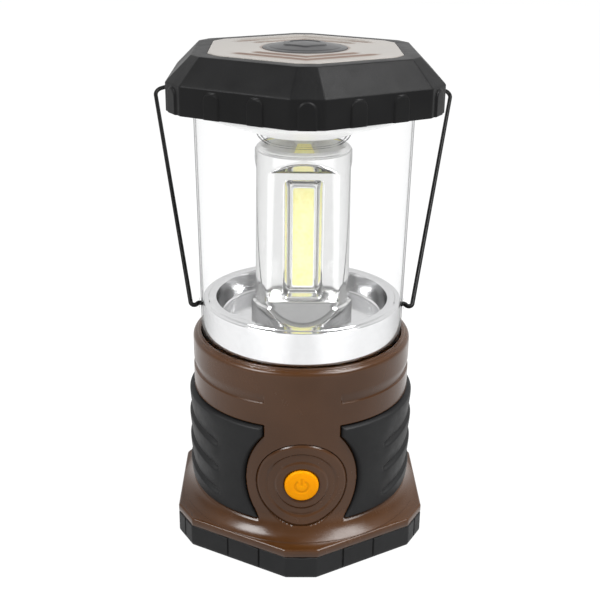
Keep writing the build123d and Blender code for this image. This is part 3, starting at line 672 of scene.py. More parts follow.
def make_materials():
    """Makes every material from its row: the recipe, then the values that the recipe takes."""
    recipes = {
        "brown_plastic": (plastic, (0.043, 0.0150, 0.0025), 0.22, 1300, 0.08, 0.25, 0.25, 0.33),
        "black_plastic": (plastic, (0.0038, 0.0038, 0.0040), 0.42, 620, 0.50, 0.0, 0.35, 0.10),
        "black_rubber": (rubber, (0.0098, 0.0100, 0.0104), 0.50),
        "clear_plastic": (clear_plastic,),
        "backed_lid": (clear_plastic, (219.2, 219.5), 0.76, (0.05, 0.05, 0.06)),
        "chrome_plating": (plated, (0.80, 0.80, 0.795), 0.085, (60, 60, 1.5), 0.02, 210.0, 0.55),
        "dish_plating": (plated, (0.84, 0.84, 0.845), 0.11, None, 0.006, None, 0.6),
        "cap_inlay": (stepped_inlay,),
        "medallion": (plastic, (0.020, 0.020, 0.021), 0.34, 1200, 0.08, 0.2, 0.3, 0.30),
        "orange_rubber": (silicone, (0.63, 0.230, 0.0)),
        "black_wire": (coated_wire,),
        "steel": (metal, (0.62, 0.62, 0.64), 0.3),
        "aluminium": (metal, (0.75, 0.75, 0.77), 0.38),
        "led_board": (plastic, (0.80, 0.80, 0.78), 0.3, 700, 0.05),
        "led_dam": (plastic, (0.86, 0.86, 0.85), 0.35, 600, 0.05),
        "phosphor": (phosphor,),
        "circuit_board": (circuit,),
        "components": (plastic, (0.05, 0.05, 0.052), 0.4, 900, 0.1),
        "nickel": (metal, (0.72, 0.69, 0.62), 0.24),
        "cell_jacket": (plated, (0.30, 0.31, 0.33), 0.34, (1, 1, 40)),
        "seal_rubber": (rubber, (0.03, 0.03, 0.031), 0.5),
        "lead": (rubber, (0.42, 0.025, 0.02), 0.5),
    }
    for name, (recipe, *numbers) in recipes.items():
        MATERIALS[name] = recipe(name, *numbers)


# ---- battery housing -----------------------------------------------------------------
def grip_edge_x(z):
    """Distance of the right grip's front edge from the middle plane, at a height."""
    arc = GRIP_ARC_R ** 2 - (z - GRIP_ARC_Z) ** 2
    return np.maximum(GRIP_CORNER_X, np.sqrt(np.clip(arc, 0, None)) + GRIP_ARC_X)


def grip_depth(azimuth, z):
    """How far a point of the round wall lies inside the nearer grip's outline (negative outside)."""
    across = np.abs(azimuth)
    front = np.degrees(np.arcsin(np.clip(grip_edge_x(z) / BASE_R, -1, 1)))
    to_front = np.radians(across - front) * BASE_R * 0.92
    to_back = np.radians(GRIP_BACK - across) * BASE_R
    return np.minimum(np.minimum(to_front, to_back), np.minimum(z - GRIP_LOW, GRIP_TOP - z))


def wall_radius(z):
    """Radius of the housing's round wall, with the cove that runs out to the flange."""
    flare, drop = COVE_R - BASE_R, COVE_TOP - COVE_LOW
    arc = (flare ** 2 + drop ** 2) / (2 * flare)
    return BASE_R + arc - np.sqrt(arc ** 2 - np.clip(COVE_TOP - z, 0, drop) ** 2)


def housing_relief(azimuth, z):
    """Radial relief of the housing's round wall: band, button recess and grip pockets."""
    around = np.abs(azimuth)
    band = smooth(z, BAND_LOW - 0.1, BAND_LOW + 0.25) * (1 - smooth(z, BAND_LOW + 0.4, BAND_TOP))
    ends = [smooth(gap, BAND_GAP - 0.5, BAND_GAP + 0.5) for gap in (around, 180 - around)]
    relief = -0.75 * band * (ends[0] * ends[1])
    from_button = np.hypot(BASE_R * np.sin(np.radians(azimuth)), z - BUTTON_Z)
    from_button = np.where(around < 60, from_button, 99.0)
    recess = -2.6 * (1 - smooth(from_button, RING_R, RING_R + 0.3))
    relief = np.where(from_button < RING_R + 1.5, recess, relief)
    pocket = smooth(grip_depth(azimuth, z), -0.8, -0.5)
    return relief - 1.7 * pocket * smooth(from_button, 25.0, 25.5)


def button_surround():
    """Stepped rings round the button: a turned profile laid over the round wall."""
    corners = [(RING_R, -2.5, 0), (RING_R, -0.35, 0.2), (RING_R - 1.1, 0.60, 1.6), (18.7, 0.60, 1.4),
               (17.6, -0.15, 0.5), (16.4, 0.0, 1.0), (14.9, 0.0, 1.0), (13.9, -0.15, 0.5), (12.8, 0.58, 1.4),
               (10.2, 0.58, 1.0), (BUTTON_BORE_R, -0.05, 0.4), (BUTTON_BORE_R, -2.5, 0)]
    profile = densify(rounded(corners, closed=False, step=6), 0.9)
    around = np.radians(np.linspace(0, 360, 288, endpoint=False))
    rows = []
    for r, rise in profile:
        x, z = r * np.sin(around), BUTTON_Z + r * np.cos(around)
        wall = wall_radius(z)
        rows.append(on_wall(wall + rise, np.arcsin(x / wall), z))
    return np.vstack(rows), grid_quads(len(rows), len(around), True, True)


def make_housing():
    azimuth = hex_azimuths(FOOT_HEX, 0.4, [(-31.0, 31.0, 0.31), (154, 162, 0.4), (-162, -154, 0.4)])
    flange = [(0.25, FOOT_TOP + 0.05), (0.0, FOOT_TOP + 0.4), (0.0, FLANGE_TOP - 0.9),
              (0.25, FLANGE_TOP - 0.35), (0.8, FLANGE_TOP), (1.0, FLANGE_TOP)]
    rows = [(hex_radius(azimuth, FLANGE_HEX, inset), z) for inset, z in flange]
    rows += [(COVE_R + 0.1, FLANGE_TOP), (COVE_R + 0.02, FLANGE_TOP + 0.15)]
    rows += [(COVE_R - inset, COVE_LOW - 0.25) for inset in (0.0, 0.12)]
    cove = COVE_TOP - (COVE_TOP - COVE_LOW) * np.cos(np.radians(np.linspace(0, 90, 28)[:-1]))
    for z in [*cove, *np.arange(COVE_TOP, SHOULDER, 0.33)]:
        rows.append((wall_radius(z) + housing_relief(azimuth, np.full_like(azimuth, z)), z))
    # rounded shoulder, then a fine lip round the globe's socket, and the bore for the batteries
    crown = [(BASE_R, SHOULDER, 0), (BASE_R, 110.6, 2.4), (56.1, 111.0, 0.5), (55.9, HOUSING_TOP, 0.35),
             (SOCKET_R + 0.25, HOUSING_TOP, 0.35), (SOCKET_R + 0.2, 107.5, 0.2), (SOCKET_R, 107.0, 0.1),
             (SOCKET_R, 103, 0.2), (51.25, 103, 0.2), (51.25, 101, 0.2), (36, 101, 0.3), (36, 98, 0.3),
             (HOUSING_BORE_R, 98, 1.0), (HOUSING_BORE_R, 25, 0.6), (53.4, 25, 0.3), (53.4, FOOT_TOP, 0.3)]
    rows += list(densify(rounded(crown, closed=False, step=10), 6.0))
    add_piece("housing", join_shapes([ring_solid(rows, azimuth), button_surround()]))


def flat_azimuth(distance, angle, along):
    """Azimuth of a point on a flat that faces an angle from +X, some way along it."""
    turn = math.radians(angle)
    x = distance * math.cos(turn) - along * math.sin(turn)
    y = distance * math.sin(turn) + along * math.cos(turn)
    return math.degrees(math.atan2(x, -y))


def make_foot():
    """Rubber foot with upright grooves, and a shallow notch at its top beside most of them."""
    grooves, notches = [], []
    for angle, toward in ((-120, 1), (-60, -1), (60, 1), (120, -1)):
        for distance in (NEAR_GROOVE, FAR_GROOVE):
            ends = [flat_azimuth(FOOT_APOTHEM, angle, toward * (distance - reach)) for reach in (0, NOTCH_W)]
            grooves.append(ends[0])
            notches.append(sorted(ends))
    for angle in (0, 180):
        grooves += [flat_azimuth(FOOT_APOTHEM, angle, t) for t in (-SIDE_GROOVE, SIDE_GROOVE)]
    grooves += [flat_azimuth(FOOT_CORNER, angle, 0) for angle in (30, 150, -30, -150)]
    azimuth = hex_azimuths(FOOT_HEX, 0.4, [(at - 1.0, at + 1.0, 0.12) for at in grooves])
    cut = np.zeros_like(azimuth)
    for at in grooves:
        cut = np.maximum(cut, np.exp(-((azimuth - at) / GROOVE_TURN) ** 4))
    reach = math.degrees(math.atan2(NOTCH_W / 2, FOOT_CORNER))
    from_corner = np.minimum(np.abs(azimuth), 180 - np.abs(azimuth))
    notch = 1 - smooth(from_corner, reach - 0.3, reach + 0.3)
    for low, high in notches:
        inside = smooth(azimuth, low - 0.3, low + 0.3) * (1 - smooth(azimuth, high - 0.3, high + 0.3))
        notch = np.maximum(notch, inside)
    profile = [(1.9, 0.0), (1.2, 0.12), (0.5, 0.6), (0.12, 1.4), (0.0, 2.2)]
    profile += [(0.0, z) for z in np.arange(3.0, 12.0, 0.8)]
    profile += [(0.0, 12.0), (0.0, 12.2), (0.06, 12.4), (0.25, 12.65), (0.6, 12.8), (1.0, 12.85)]
    rows = []
    for inset, z in profile:
        sunk = np.maximum(cut * smooth(z, 1.5, 2.4), notch * smooth(z, 12.1, 12.3))
        rows.append((hex_radius(azimuth, FOOT_HEX, inset) - GROOVE_DEPTH * sunk, z))
    rows += [(53.9, 12.85), (53.7, FOOT_TOP - 0.2), (53.7, 6.0), (53.7, 0.6), (54.2, 0.0)]
    add_piece("rubber_foot", ring_solid(rows, azimuth))


def grip_surface(azimuth, z):
    """Radius of a grip's skin: plain in front, and from the creases on overlapping bands."""
    past = np.minimum(azimuth - CREASE_START, 180 - CREASE_START - azimuth)
    shift = CREASE_CLIMB * np.sin(np.radians(np.clip(past / (90 - CREASE_START), 0, 1) * 90))
    along = past * math.radians(1) * GRIP_R
    banded = smooth(along, -4.0, 5.0)
    pitch = CREASES[0] - CREASES[1]
    level = (CREASES[0] + shift - z) / pitch
    share = level - np.floor(level)
    top_part = level < 0
    share = np.where(top_part, np.clip(-level, 0, 1) * 0.75, 1 - share)
    lip = np.where(top_part, 0.0, 0.85 * np.exp(-(1 - share) * pitch / 0.8))
    bands = 59.95 + 1.65 * share - lip
    swell = 0.25 * np.sin(np.pi * np.clip(share, 0, 1))
    radius = GRIP_R * (1 - banded) + (bands + swell) * banded
    beyond = np.clip(-along, 0, None)
    width = 1.15 - 0.45 * smooth(along, 0.0, 22.0)
    for centre in CREASES:
        off = np.hypot(z - centre - shift + 0.35, beyond)
        radius = radius - 1.25 * np.exp(-(off / width) ** 2.4)
    return radius


def make_grip(side):
    """One rubber grip: rounded edges, and three creases that climb towards the side."""
    heights = np.concatenate([GRIP_LOW + 1.4 * np.linspace(0, 1, 7) ** 1.6,
                              np.arange(GRIP_LOW + 1.7, GRIP_TOP - 1.5, 0.30),
                              GRIP_TOP - 1.4 * np.linspace(1, 0, 7) ** 1.6])
    near = np.degrees(1.6 * np.linspace(0, 1, 8) ** 1.6 / BASE_R) * 1.06
    foot = BASE_R - 0.6
    outer, inner = [], []
    for z in heights:
        front = math.degrees(math.asin(grip_edge_x(z) / BASE_R))
        middle = np.linspace(front + near[-1], GRIP_BACK - near[-1], 190)[1:-1]
        azimuth = np.concatenate([front + near, middle, GRIP_BACK - near[::-1]])
        depth = np.minimum(np.minimum(np.radians(azimuth - front) * BASE_R * 0.93,
                                      np.radians(GRIP_BACK - azimuth) * BASE_R),
                           min(z - GRIP_LOW, GRIP_TOP - z))
        edge = 0.82 * arc_edge(depth, 1.3) + 0.18 * arc_edge(depth, 4.5)
        angle, level = np.radians(azimuth) * side, np.full_like(azimuth, z)
        outer.append(on_wall(foot + (grip_surface(azimuth, z) - foot) * edge, angle, level))
        inner.append(on_wall(GRIP_SEAT_R - 0.8, angle, level))
    last, count = len(outer) - 1, len(outer[0])
    total = (last + 1) * count
    faces = grid_quads(last + 1, count, False, False)
    faces += [[i + total for i in reversed(face)] for face in faces]
    # the four edges of the grid, in turn
    loop = list(range(count))
    loop += [r * count + count - 1 for r in range(1, last + 1)]
    loop += [last * count + c for c in range(count - 2, -1, -1)]
    loop += [r * count for r in range(last - 1, 0, -1)]
    for a, b in zip(loop, loop[1:] + loop[:1]):
        faces.append([b, a, a + total, b + total])
    add_piece("grip_right_rubber" if side > 0 else "grip_left_rubber", (np.vstack(outer + inner), faces))


def make_button():
    """Orange button with a faint sunk power mark on its domed face."""
    flat = BUTTON_R - BUTTON_EDGE
    radii = np.concatenate([np.linspace(0.02, flat, 44),
                            flat + BUTTON_EDGE * np.sin(np.radians(np.linspace(6, 90, 10)))])
    around = np.radians(np.linspace(0, 360, 200, endpoint=False))
    rows, marks = [], []
    for r in radii:
        x, z = r * np.sin(around), r * np.cos(around)
        dome = 0.55 * (1 - (r / BUTTON_R) ** 2)
        edge = BUTTON_EDGE * (1 - math.sqrt(max(0.0, 1 - max(0.0, (r - flat) / BUTTON_EDGE) ** 2)))
        ring = np.exp(-((r - 3.3) / 0.62) ** 4) * smooth(np.abs(np.degrees(np.arctan2(x, z))), 30, 38)
        bar = np.exp(-(x / 0.60) ** 4) * smooth(z, 0.0, 0.6) * (1 - smooth(z, 4.2, 4.8))
        marks.append(np.maximum(ring, bar))
        rows.append(np.column_stack([x, BUTTON_FACE_Y - dome + edge + 0.25 * marks[-1], z + BUTTON_Z]))
    for depth in (1.0, 3.0, 5.5):
        y = np.full_like(x, BUTTON_FACE_Y + BUTTON_EDGE + depth)
        rows.append(np.column_stack([BUTTON_R * np.sin(around), y, BUTTON_R * np.cos(around) + BUTTON_Z]))
        marks.append(np.zeros_like(x))
    size = len(rows), len(around)
    button = add_piece("button_cap", (np.vstack(rows), grid_quads(*size, False, True) + end_faces(*size)))
    # the mark values also darken the sunk mark in the material: painted shade
    point_values(button, "mark", np.concatenate(marks))


# ---- globe and reflectors ------------------------------------------------------------
def make_globe():
    """Clear tapering globe with a flange at its head and a boss for the bail on each side."""
    head_in = GLOBE_HEAD_R - GLOBE_WALL
    foot_in = GLOBE_FOOT_R - GLOBE_WALL
    wall = [(foot_in, GLOBE_LOW, 0.5), (GLOBE_FOOT_R, GLOBE_LOW, 0.5), (GLOBE_FOOT_R, HOUSING_TOP, 2),
            (GLOBE_HEAD_R, GLOBE_FLANGE, 0.3), (LID_FLANGE_R, GLOBE_FLANGE, 0.3), (LID_FLANGE_R, LID_SEAT, 0.3),
            (head_in, LID_SEAT, 0.3), (head_in, GLOBE_FLANGE, 1), (foot_in, HOUSING_TOP, 2)]
    bore = BAIL_R + 0.1
    boss = ring_solid(rounded([(bore, 0, 0.1), (3.6, 0, 0.2), (3.6, 1.35, 0.7), (bore, 1.35, 0.3)]),
                      ring_azimuths(48))
    shapes = [lathe(wall, 220, 5.0)]
    for side in (-1, 1):
        seat = Matrix.Translation((side * BOSS_X, 0, BAIL_Z)) @ Matrix.Rotation(side * math.pi / 2, 4, "Y")
        shapes.append(placed(boss, seat))
    add_piece("clear_globe", join_shapes(shapes))


def make_dish():
    """Plated dish with a flat rim and a shallow groove round its wall."""
    top, groove = DISH_RIM - 0.5, DISH_R - 1.0
    corners = [(9, DISH_FLOOR, 0.4), (43.4, DISH_FLOOR, 1.6), (DISH_IN_R, DISH_RIM, 0.4), (49.7, DISH_RIM, 0.3),
               (50.1, top, 0.2), (DISH_R, top, 0.4), (DISH_R, 108.6, 0.1), (groove, 108.6, 0.1),
               (groove, 106.4, 0.1), (DISH_R, 106.4, 0.1), (DISH_R, 101, 0.3), (49.6, 101, 0.3),
               (49.6, 128.4, 0.5), (DISH_IN_R + 1.6, 128.4, 0.5), (45.2, 117.4, 0.8), (9, 117.4, 0.4)]
    add_piece("dish", lathe(corners, 240, 3.0, 10))


def make_globe_top():
    """Clear lid: a cup over the column's roof that opens into a shallow cone."""
    corners = [(18.6, 214.5, 0.3), (19.6, 213.8, 0.4), (21.4, 214.5, 0.8), (23.2, 216.2, 1.5), (24.2, 218.0, 2),
               (24.7, 219.5, 1), (43.7, 225.9, 20), (52.0, 228.8, 2), (53.0, 230.2, 1.5), (53.0, LID_SEAT, 0.3),
               (LID_FLANGE_R, LID_SEAT, 0.3), (LID_FLANGE_R, 240.2, 0.3), (51.6, 240.2, 0.3), (51.6, 230.6, 1),
               (51.0, 229.8, 1), (43.2, 227.2, 20), (24.0, 220.9, 1.5), (0.2, 220.9, 0), (0.2, 219.5, 0),
               (23.1, 219.5, 0.6), (22.8, 218.3, 1.5), (21.8, 216.6, 1.5), (20.3, 215.2, 0.8)]
    add_piece("globe_lid", lathe(corners, 240, 3.0, 8))


def column_side(z):
    """Radius of the column's round part, which tapers a little above its collar."""
    share = np.clip((z - COLLAR_TOP) / (COLUMN_TOP - COLLAR_TOP), 0, 1)
    taper = COLUMN_FOOT_R + (COLUMN_HEAD_R - COLUMN_FOOT_R) * share
    return COLUMN_COLLAR_R + (taper - COLUMN_COLLAR_R) * smooth(z, COLLAR_TOP, COLLAR_TOP + 0.8)


def column_radius(azimuth, z):
    """Radius of the plated column: a round body cut by three panels, each with a bevelled window."""
    phi = np.radians(np.abs((azimuth + 60) % 120 - 60))
    over_top = (z - PANEL_TOP) * PANEL_RISE / 6.1
    under = (PANEL_LOW - z) * PANEL_RISE / 7.8
    plane = PANEL_D + np.maximum(0.0, np.maximum(over_top, under))
    depth = 0.0
    for _ in range(4):
        inside_x = WINDOW_HALF_W - (plane - depth) * np.tan(phi)
        inside_z = min(z - WINDOW_LOW, WINDOW_TOP - z)
        dx, dz = WINDOW_CORNER - inside_x, WINDOW_CORNER - inside_z
        inside = np.where((dx > 0) & (dz > 0), WINDOW_CORNER - np.hypot(dx, dz), np.minimum(inside_x, inside_z))
        depth = WINDOW_DEPTH * (0.4 * smooth(inside, 0.0, WINDOW_BEVEL)
                                + 0.6 * np.clip(inside / WINDOW_BEVEL, 0, 1))
    flat = (plane - depth) / np.cos(phi)
    return soft_min(np.full_like(azimuth, column_side(z)), flat, 2.0)


ROOF_SLOPE = math.atan2(ROOF_HIGH[1] - ROOF_LOW[1], ROOF_LOW[0] - ROOF_HIGH[0])


def roof_depth(azimuth, radius):
    """How deep the roof is sunk at a point, for the three bevelled patches."""
    turn = np.radians((azimuth + 60) % 120 - 60)
    along = (PATCH_R - radius * np.cos(turn)) / math.cos(ROOF_SLOPE)
    half = PATCH_LOW_W / 2 + (PATCH_HIGH_W - PATCH_LOW_W) / 2 * np.clip(along / PATCH_LENGTH + 0.5, 0, 1)
    inside = np.minimum(half - np.abs(radius * np.sin(turn)), PATCH_LENGTH / 2 - np.abs(along))
    return PATCH_DEPTH * (0.5 * smooth(inside, -2.2, 0.0) + 0.5 * np.clip(inside / 2.2 + 1, 0, 1))


def make_column():
    """Plated shell of the light column, with its low conical roof."""
    azimuth = azimuths(*[(m - 36, m + 36, 0.6) for m in (-120, 0, 120)])
    heights = np.concatenate([np.arange(DISH_FLOOR + 0.3, 136, 0.30), np.arange(136, 196, 0.8),
                              np.arange(196, COLUMN_TOP, 0.30)])
    rows = [(12.0, DISH_FLOOR + 0.05), (COLUMN_COLLAR_R - 0.3, DISH_FLOOR + 0.05)]
    rows += [(column_radius(azimuth, z), z) for z in heights]
    last = column_radius(azimuth, COLUMN_TOP)
    for angle in np.radians(np.arange(15, 91, 15)):
        top = COLUMN_HEAD_R - 0.6 * (1 - math.cos(angle))
        rows.append((np.minimum(last, top), COLUMN_TOP + 0.7 * math.sin(angle)))
    edge = [(COLUMN_HEAD_R - 0.6, COLUMN_TOP + 0.7, 0), (COLUMN_HEAD_R - 0.9, COLUMN_TOP + 1.7, 1.2),
            (ROOF_LOW[0] + 0.5, ROOF_LOW[1] - 0.1, 0.3), (ROOF_LOW[0] + 0.2, ROOF_LOW[1] + 0.15, 0.1),
            (*ROOF_LOW, 0)]
    rows += list(densify(rounded(edge, closed=False), 0.4)[1:])
    low, high = np.array(ROOF_LOW), np.array(ROOF_HIGH)
    crest = rounded([(*ROOF_HIGH, 0), (6.4, ROOF_TOP, 0.5), (5.0, ROOF_TOP, 0)], closed=False)
    slope = [low + (high - low) * share for share in np.linspace(0.01, 1, 80)]
    rows += [(r, z - roof_depth(azimuth, r)) for r, z in [*slope, *densify(crest, 0.4)[1:]]]
    rows += [(4.0, ROOF_TOP), (4.0, 205.0), (12.0, 205.0)]
    add_piece("column_shell", ring_solid(rows, azimuth))


def make_column_cap():
    low, high = ROOF_TOP + 0.02, ROOF_TOP + 0.8
    add_piece("column_disc", lathe([(0.2, low, 0), (5.7, low, 0.1), (5.7, high, 0.3), (0.2, high, 0)], 96, 1.5))


def make_lights():
    """Light strips and roof patches, and the closed dam round each strip."""
    def upright(half, low, high, corner):
        return rounded([(-half, low, corner), (half, low, corner), (half, high, corner), (-half, high, corner)])

    def add_three(name, shape):
        turns = [Matrix.Rotation(math.radians(a), 4, "Z") for a in (0, 120, 240)]
        add_piece(name, join_shapes([placed(shape, turn) for turn in turns]))

    half = LED_W / 2
    face = upright((LED_W - 1.7) / 2, LED_LOW + 0.85, LED_TOP - 0.85, 0.8)
    points, faces = slab(face, 0.05 - LED_D, 1.1 - LED_D, 0.25)
    strip = points[:, [0, 2, 1]], faces
    low, high, reach = PATCH_LOW_W / 2 - 0.1, PATCH_HIGH_W / 2 - 0.1, PATCH_LENGTH / 2 - 0.1
    outline = rounded([(-low, -reach, 0.4), (low, -reach, 0.4), (high, reach, 0.4), (-high, reach, 0.4)])
    seat = Matrix.Translation((0, -PATCH_R, PATCH_SEAT + 0.02)) @ Matrix.Rotation(ROOF_SLOPE, 4, "X")
    add_three("phosphor_strips", join_shapes([strip, placed(slab(outline, 0.0, 0.6, 0.15), seat)]))
    outer = upright(half, LED_LOW, LED_TOP, LED_CORNER)
    middle, height = outer.mean(0), LED_TOP - LED_LOW
    shrink = np.array([(half - DAM_WALL) / half, (height - 2 * DAM_WALL) / height])
    inner = middle + (outer - middle) * shrink
    between = (outer + inner) / 2
    layers = [np.column_stack([shape[:, 0], np.full(len(shape), y), shape[:, 1]]) for shape, y in
              ((outer, -13.6), (outer, -14.5), (between, -14.95), (inner, -14.5), (inner, -13.6))]
    add_three("strip_dams", (np.vstack(layers), grid_quads(len(layers), len(outer), True, True)))


# ---- cap -----------------------------------------------------------------------------
def face_frames(azimuth, radius):
    """For points on the cap's rim: outward normals and distance along the face they lie on."""
    angle = np.radians(azimuth)
    x, y = radius * np.sin(angle), -radius * np.cos(angle)
    best = np.full(len(azimuth), 1e9)
    normal = np.zeros((len(azimuth), 2))
    along = np.zeros(len(azimuth))
    is_corner = np.zeros(len(azimuth), bool)
    for k in range(12):
        turn = math.radians(30 * k)
        n = np.array([math.cos(turn), math.sin(turn)])
        support = HEX_APOTHEM if k % 2 == 0 else HEX_CORNER
        off = np.abs(x * n[0] + y * n[1] - support)
        t = -x * n[1] + y * n[0]
        nearer = off < best
        best = np.where(nearer, off, best)
        normal[nearer] = n
        along = np.where(nearer, t, along)
        is_corner = np.where(nearer, k % 2 == 1, is_corner)
    return normal, along, is_corner


def pad_rise(along, z, is_corner):
    """Height of the round-topped pads on the rim."""
    centre_z = PAD_TOP - PAD_W / 2
    middle = np.where(is_corner, 0.0, PAD_T)
    off = np.abs(np.where(is_corner, along, np.abs(along) - middle))
    inside = PAD_W / 2 - np.where(z > centre_z, np.hypot(off, z - centre_z), off)
    return PAD_RISE * arc_edge(inside, 0.9)


def make_cap():
    """Hexagonal cap: a rim with pads, a slope, a seat for the inlay and a hollow underside."""
    spans = []
    for k in range(6):
        flat = 90 + 60 * k
        for t in (-PAD_T, PAD_T):
            for edge in (-PAD_W / 2, PAD_W / 2):
                at = wrap(flat + math.degrees(math.atan2(t + edge, HEX_APOTHEM)))
                spans.append((at - 1.3, at + 1.3, 0.16))
        corner = wrap(flat + 30)
        spans.append((corner - 4.4, corner + 4.4, 0.3))
    azimuth = hex_azimuths(CAP_HEX, 0.4, spans)
    profile = [(0.35, CAP_LOW), (0.1, CAP_LOW + 0.12), (0.0, CAP_LOW + 0.4)]
    profile += [(0.0, z) for z in np.arange(CAP_LOW + 0.7, CAP_RIM - 0.5, 0.3)]
    profile += [(0.0, CAP_RIM - 0.45), (0.05, CAP_RIM - 0.2), (0.16, CAP_RIM + 0.05), (0.36, CAP_RIM + 0.34)]
    profile += [(s, CAP_RIM + s) for s in np.linspace(0.8, 11.7, 9)]
    profile += [(11.95, CAP_TOP - 0.26), (12.25, CAP_TOP - 0.08), (CAP_INSET, CAP_TOP)]
    rows, angle = [], np.radians(azimuth)
    for inset, z in profile:
        edge = hex_radius(azimuth, CAP_HEX, inset)
        if z < CAP_RIM:
            normal, along, is_corner = face_frames(azimuth, edge)
            facing = normal[:, 0] * np.sin(angle) - normal[:, 1] * np.cos(angle)
            edge = edge + pad_rise(along, z, is_corner) * facing
        rows.append((edge, z))
    seat = CAP_TOP - 1.0
    for gap, z in ((0.55, CAP_TOP), (0.25, CAP_TOP - 0.1), (0.2, seat)):
        rows.append((hex_radius(azimuth, PLATE_HEX, -gap), z))
    rows += [(30.0, seat), (8.0, seat), (8.0, CAP_TOP - 2.6), (30.0, CAP_TOP - 2.6)]
    for inset, z in ((13.0, CAP_TOP - 2.6), (8.0, CAP_TOP - 7.6), (2.4, CAP_RIM - 1.0), (2.4, CAP_LOW + 0.3),
                     (2.2, CAP_LOW)):
        rows.append((hex_radius(azimuth, CAP_HEX, inset), z))
    add_piece("cap", ring_solid(rows, azimuth))


def chevron_relief(x, y):
    """Ridges that follow the front and back corners and fade out sideways, with grooves between, and a mask of
    their painted shade.
    """
    reach = 0.5 * np.abs(x) + 0.866 * np.abs(y)
    relief, groove = np.zeros_like(x), np.zeros_like(x)
    # the painted groove shade sits in the groove at the back and just outside the ridge at the front
    shaded = np.where(y > 0, 0.2, 3.3)
    for distance, width in CHEVRONS:
        fade = 1 - smooth(np.abs(x), width * 0.80, width * 1.05)
        relief = relief - 0.70 * fade * np.exp(-((reach - distance) / 0.9) ** 2)
        relief = relief + 0.75 * fade * np.exp(-((reach - distance - 2.5) / 1.1) ** 2)
        groove = groove + fade * np.exp(-((reach - distance - shaded) / 0.95) ** 2)
    edge = reach - (PLATE_CORNER - 4.2) * 0.866
    relief = relief - 0.35 * np.exp(-(edge / 0.7) ** 2) * (1 - smooth(np.abs(x), 24, 34))
    return relief, np.clip(groove, 0, 1)


def make_cap_plate():
    """Inlay with stepped chevrons, open in the middle for the medallion."""
    azimuth = hex_azimuths(PLATE_HEX, 0.8, [(-24, 24, 0.8), (156, 180, 0.8), (-180, -156, 0.8)])
    angle = np.radians(azimuth)
    top, low, inner = CAP_TOP + 0.3, CAP_TOP - 0.9, MEDALLION_R + 0.2
    rows = [(hex_radius(azimuth, PLATE_HEX, inset), z)
            for inset, z in ((0.0, low), (0.0, top - 0.4), (0.08, top - 0.15), (0.3, top))]
    start = rows[-1][0]
    for share in np.linspace(0.012, 1.0, 84):
        radius = start * (1 - share) + inner * share
        relief, _ = chevron_relief(radius * np.sin(angle), -radius * np.cos(angle))
        rows.append((radius, top + relief * smooth(start - radius, 0.8, 2.5) * smooth(radius - inner, 0.1, 1.0)))
    rows += [(inner - 0.1, top - 0.3), (inner - 0.1, low)]
    points, faces = ring_solid(rows, azimuth)
    plate = add_piece("cap_inlay_plate", (points, faces))
    # the groove attribute carries the painted groove shade and a darker ring next to the medallion
    _, groove = chevron_relief(points[:, 0], points[:, 1])
    rim = np.hypot(points[:, 0], points[:, 1]) < inner + 1.2
    point_values(plate, "groove", np.maximum(groove, rim * 0.6))


def make_medallion():
    """Dark dome with a plain raised hexagon in its middle."""
    edge_z, rise = CAP_TOP + 0.5, 2.3
    azimuth = ring_azimuths(180)
    mark_edge = hex_radius(azimuth, MARK_HEX)
    rows = [(MEDALLION_R - 0.1, CAP_TOP - 0.9), (MEDALLION_R, edge_z - 0.5), (MEDALLION_R, edge_z - 0.1)]
    for r in np.concatenate([MEDALLION_R - np.linspace(0.05, 1.0, 6), np.linspace(19.6, 0.4, 60)]):
        height = edge_z + rise * (1 - (r / MEDALLION_R) ** 2)
        height -= 0.22 * math.exp(-((r - 18.2) / 0.5) ** 2)
        steps = [smooth(reach - r, -0.35, 0.35) for reach in (mark_edge, mark_edge * 0.72)]
        rows.append((r, height + 0.45 * (steps[0] - steps[1])))
    add_piece("medallion_dome", ring_solid(rows, azimuth, caps=True))


# ---- bail ----------------------------------------------------------------------------
def sweep_tube(path, radius, sides):
    """Closed tube along 3D points."""
    tangent = np.gradient(path, axis=0)
    tangent /= np.linalg.norm(tangent, axis=1)[:, None]
    normal = np.cross(tangent[0], [0, 1, 0.2])
    normal /= np.linalg.norm(normal)
    rings = []
    around = np.linspace(0, 2 * math.pi, sides, endpoint=False)
    for point, t in zip(path, tangent):
        normal = normal - t * (normal @ t)
        normal /= np.linalg.norm(normal)
        circle = np.outer(np.cos(around), normal) + np.outer(np.sin(around), np.cross(t, normal))
        rings.append(point + radius * circle)
    size = len(path), sides
    return np.vstack(rings), grid_quads(*size, False, True) + end_faces(*size)


def make_bail():
    half = [(51.9, 0.0, 0), (55.9, 0.0, 1.3), (58.7, -5.2, 2.0), (90.2, 147.4, 5.0), (62.0, 158.6, 40.0)]
    corners = half + [(-x, s, r) for x, s, r in reversed(half)]
    corners = [(x + BAIL_SKEW * max(s, 0) / half[-1][1], s, r) for x, s, r in corners]
    line = densify(rounded(corners, closed=False, step=8), 3.0)
    lean = math.radians(BAIL_LEAN)
    path = np.column_stack([line[:, 0], line[:, 1] * math.sin(lean), BAIL_Z + line[:, 1] * math.cos(lean)])
    add_piece("bail_wire", sweep_tube(path, BAIL_R, 24))


# ---- what stays as CAD ---------------------------------------------------------------
def dress_cad_nodes():
    """Gives each CAD node that still shows the material of its slot."""
    slots = {row["node"]: row["material_slot"] for row in frame["record"]["subparts"]}
    for name, node in frame["nodes"].items():
        node.data.materials.clear()
        node.data.materials.append(MATERIALS[slots[name]])


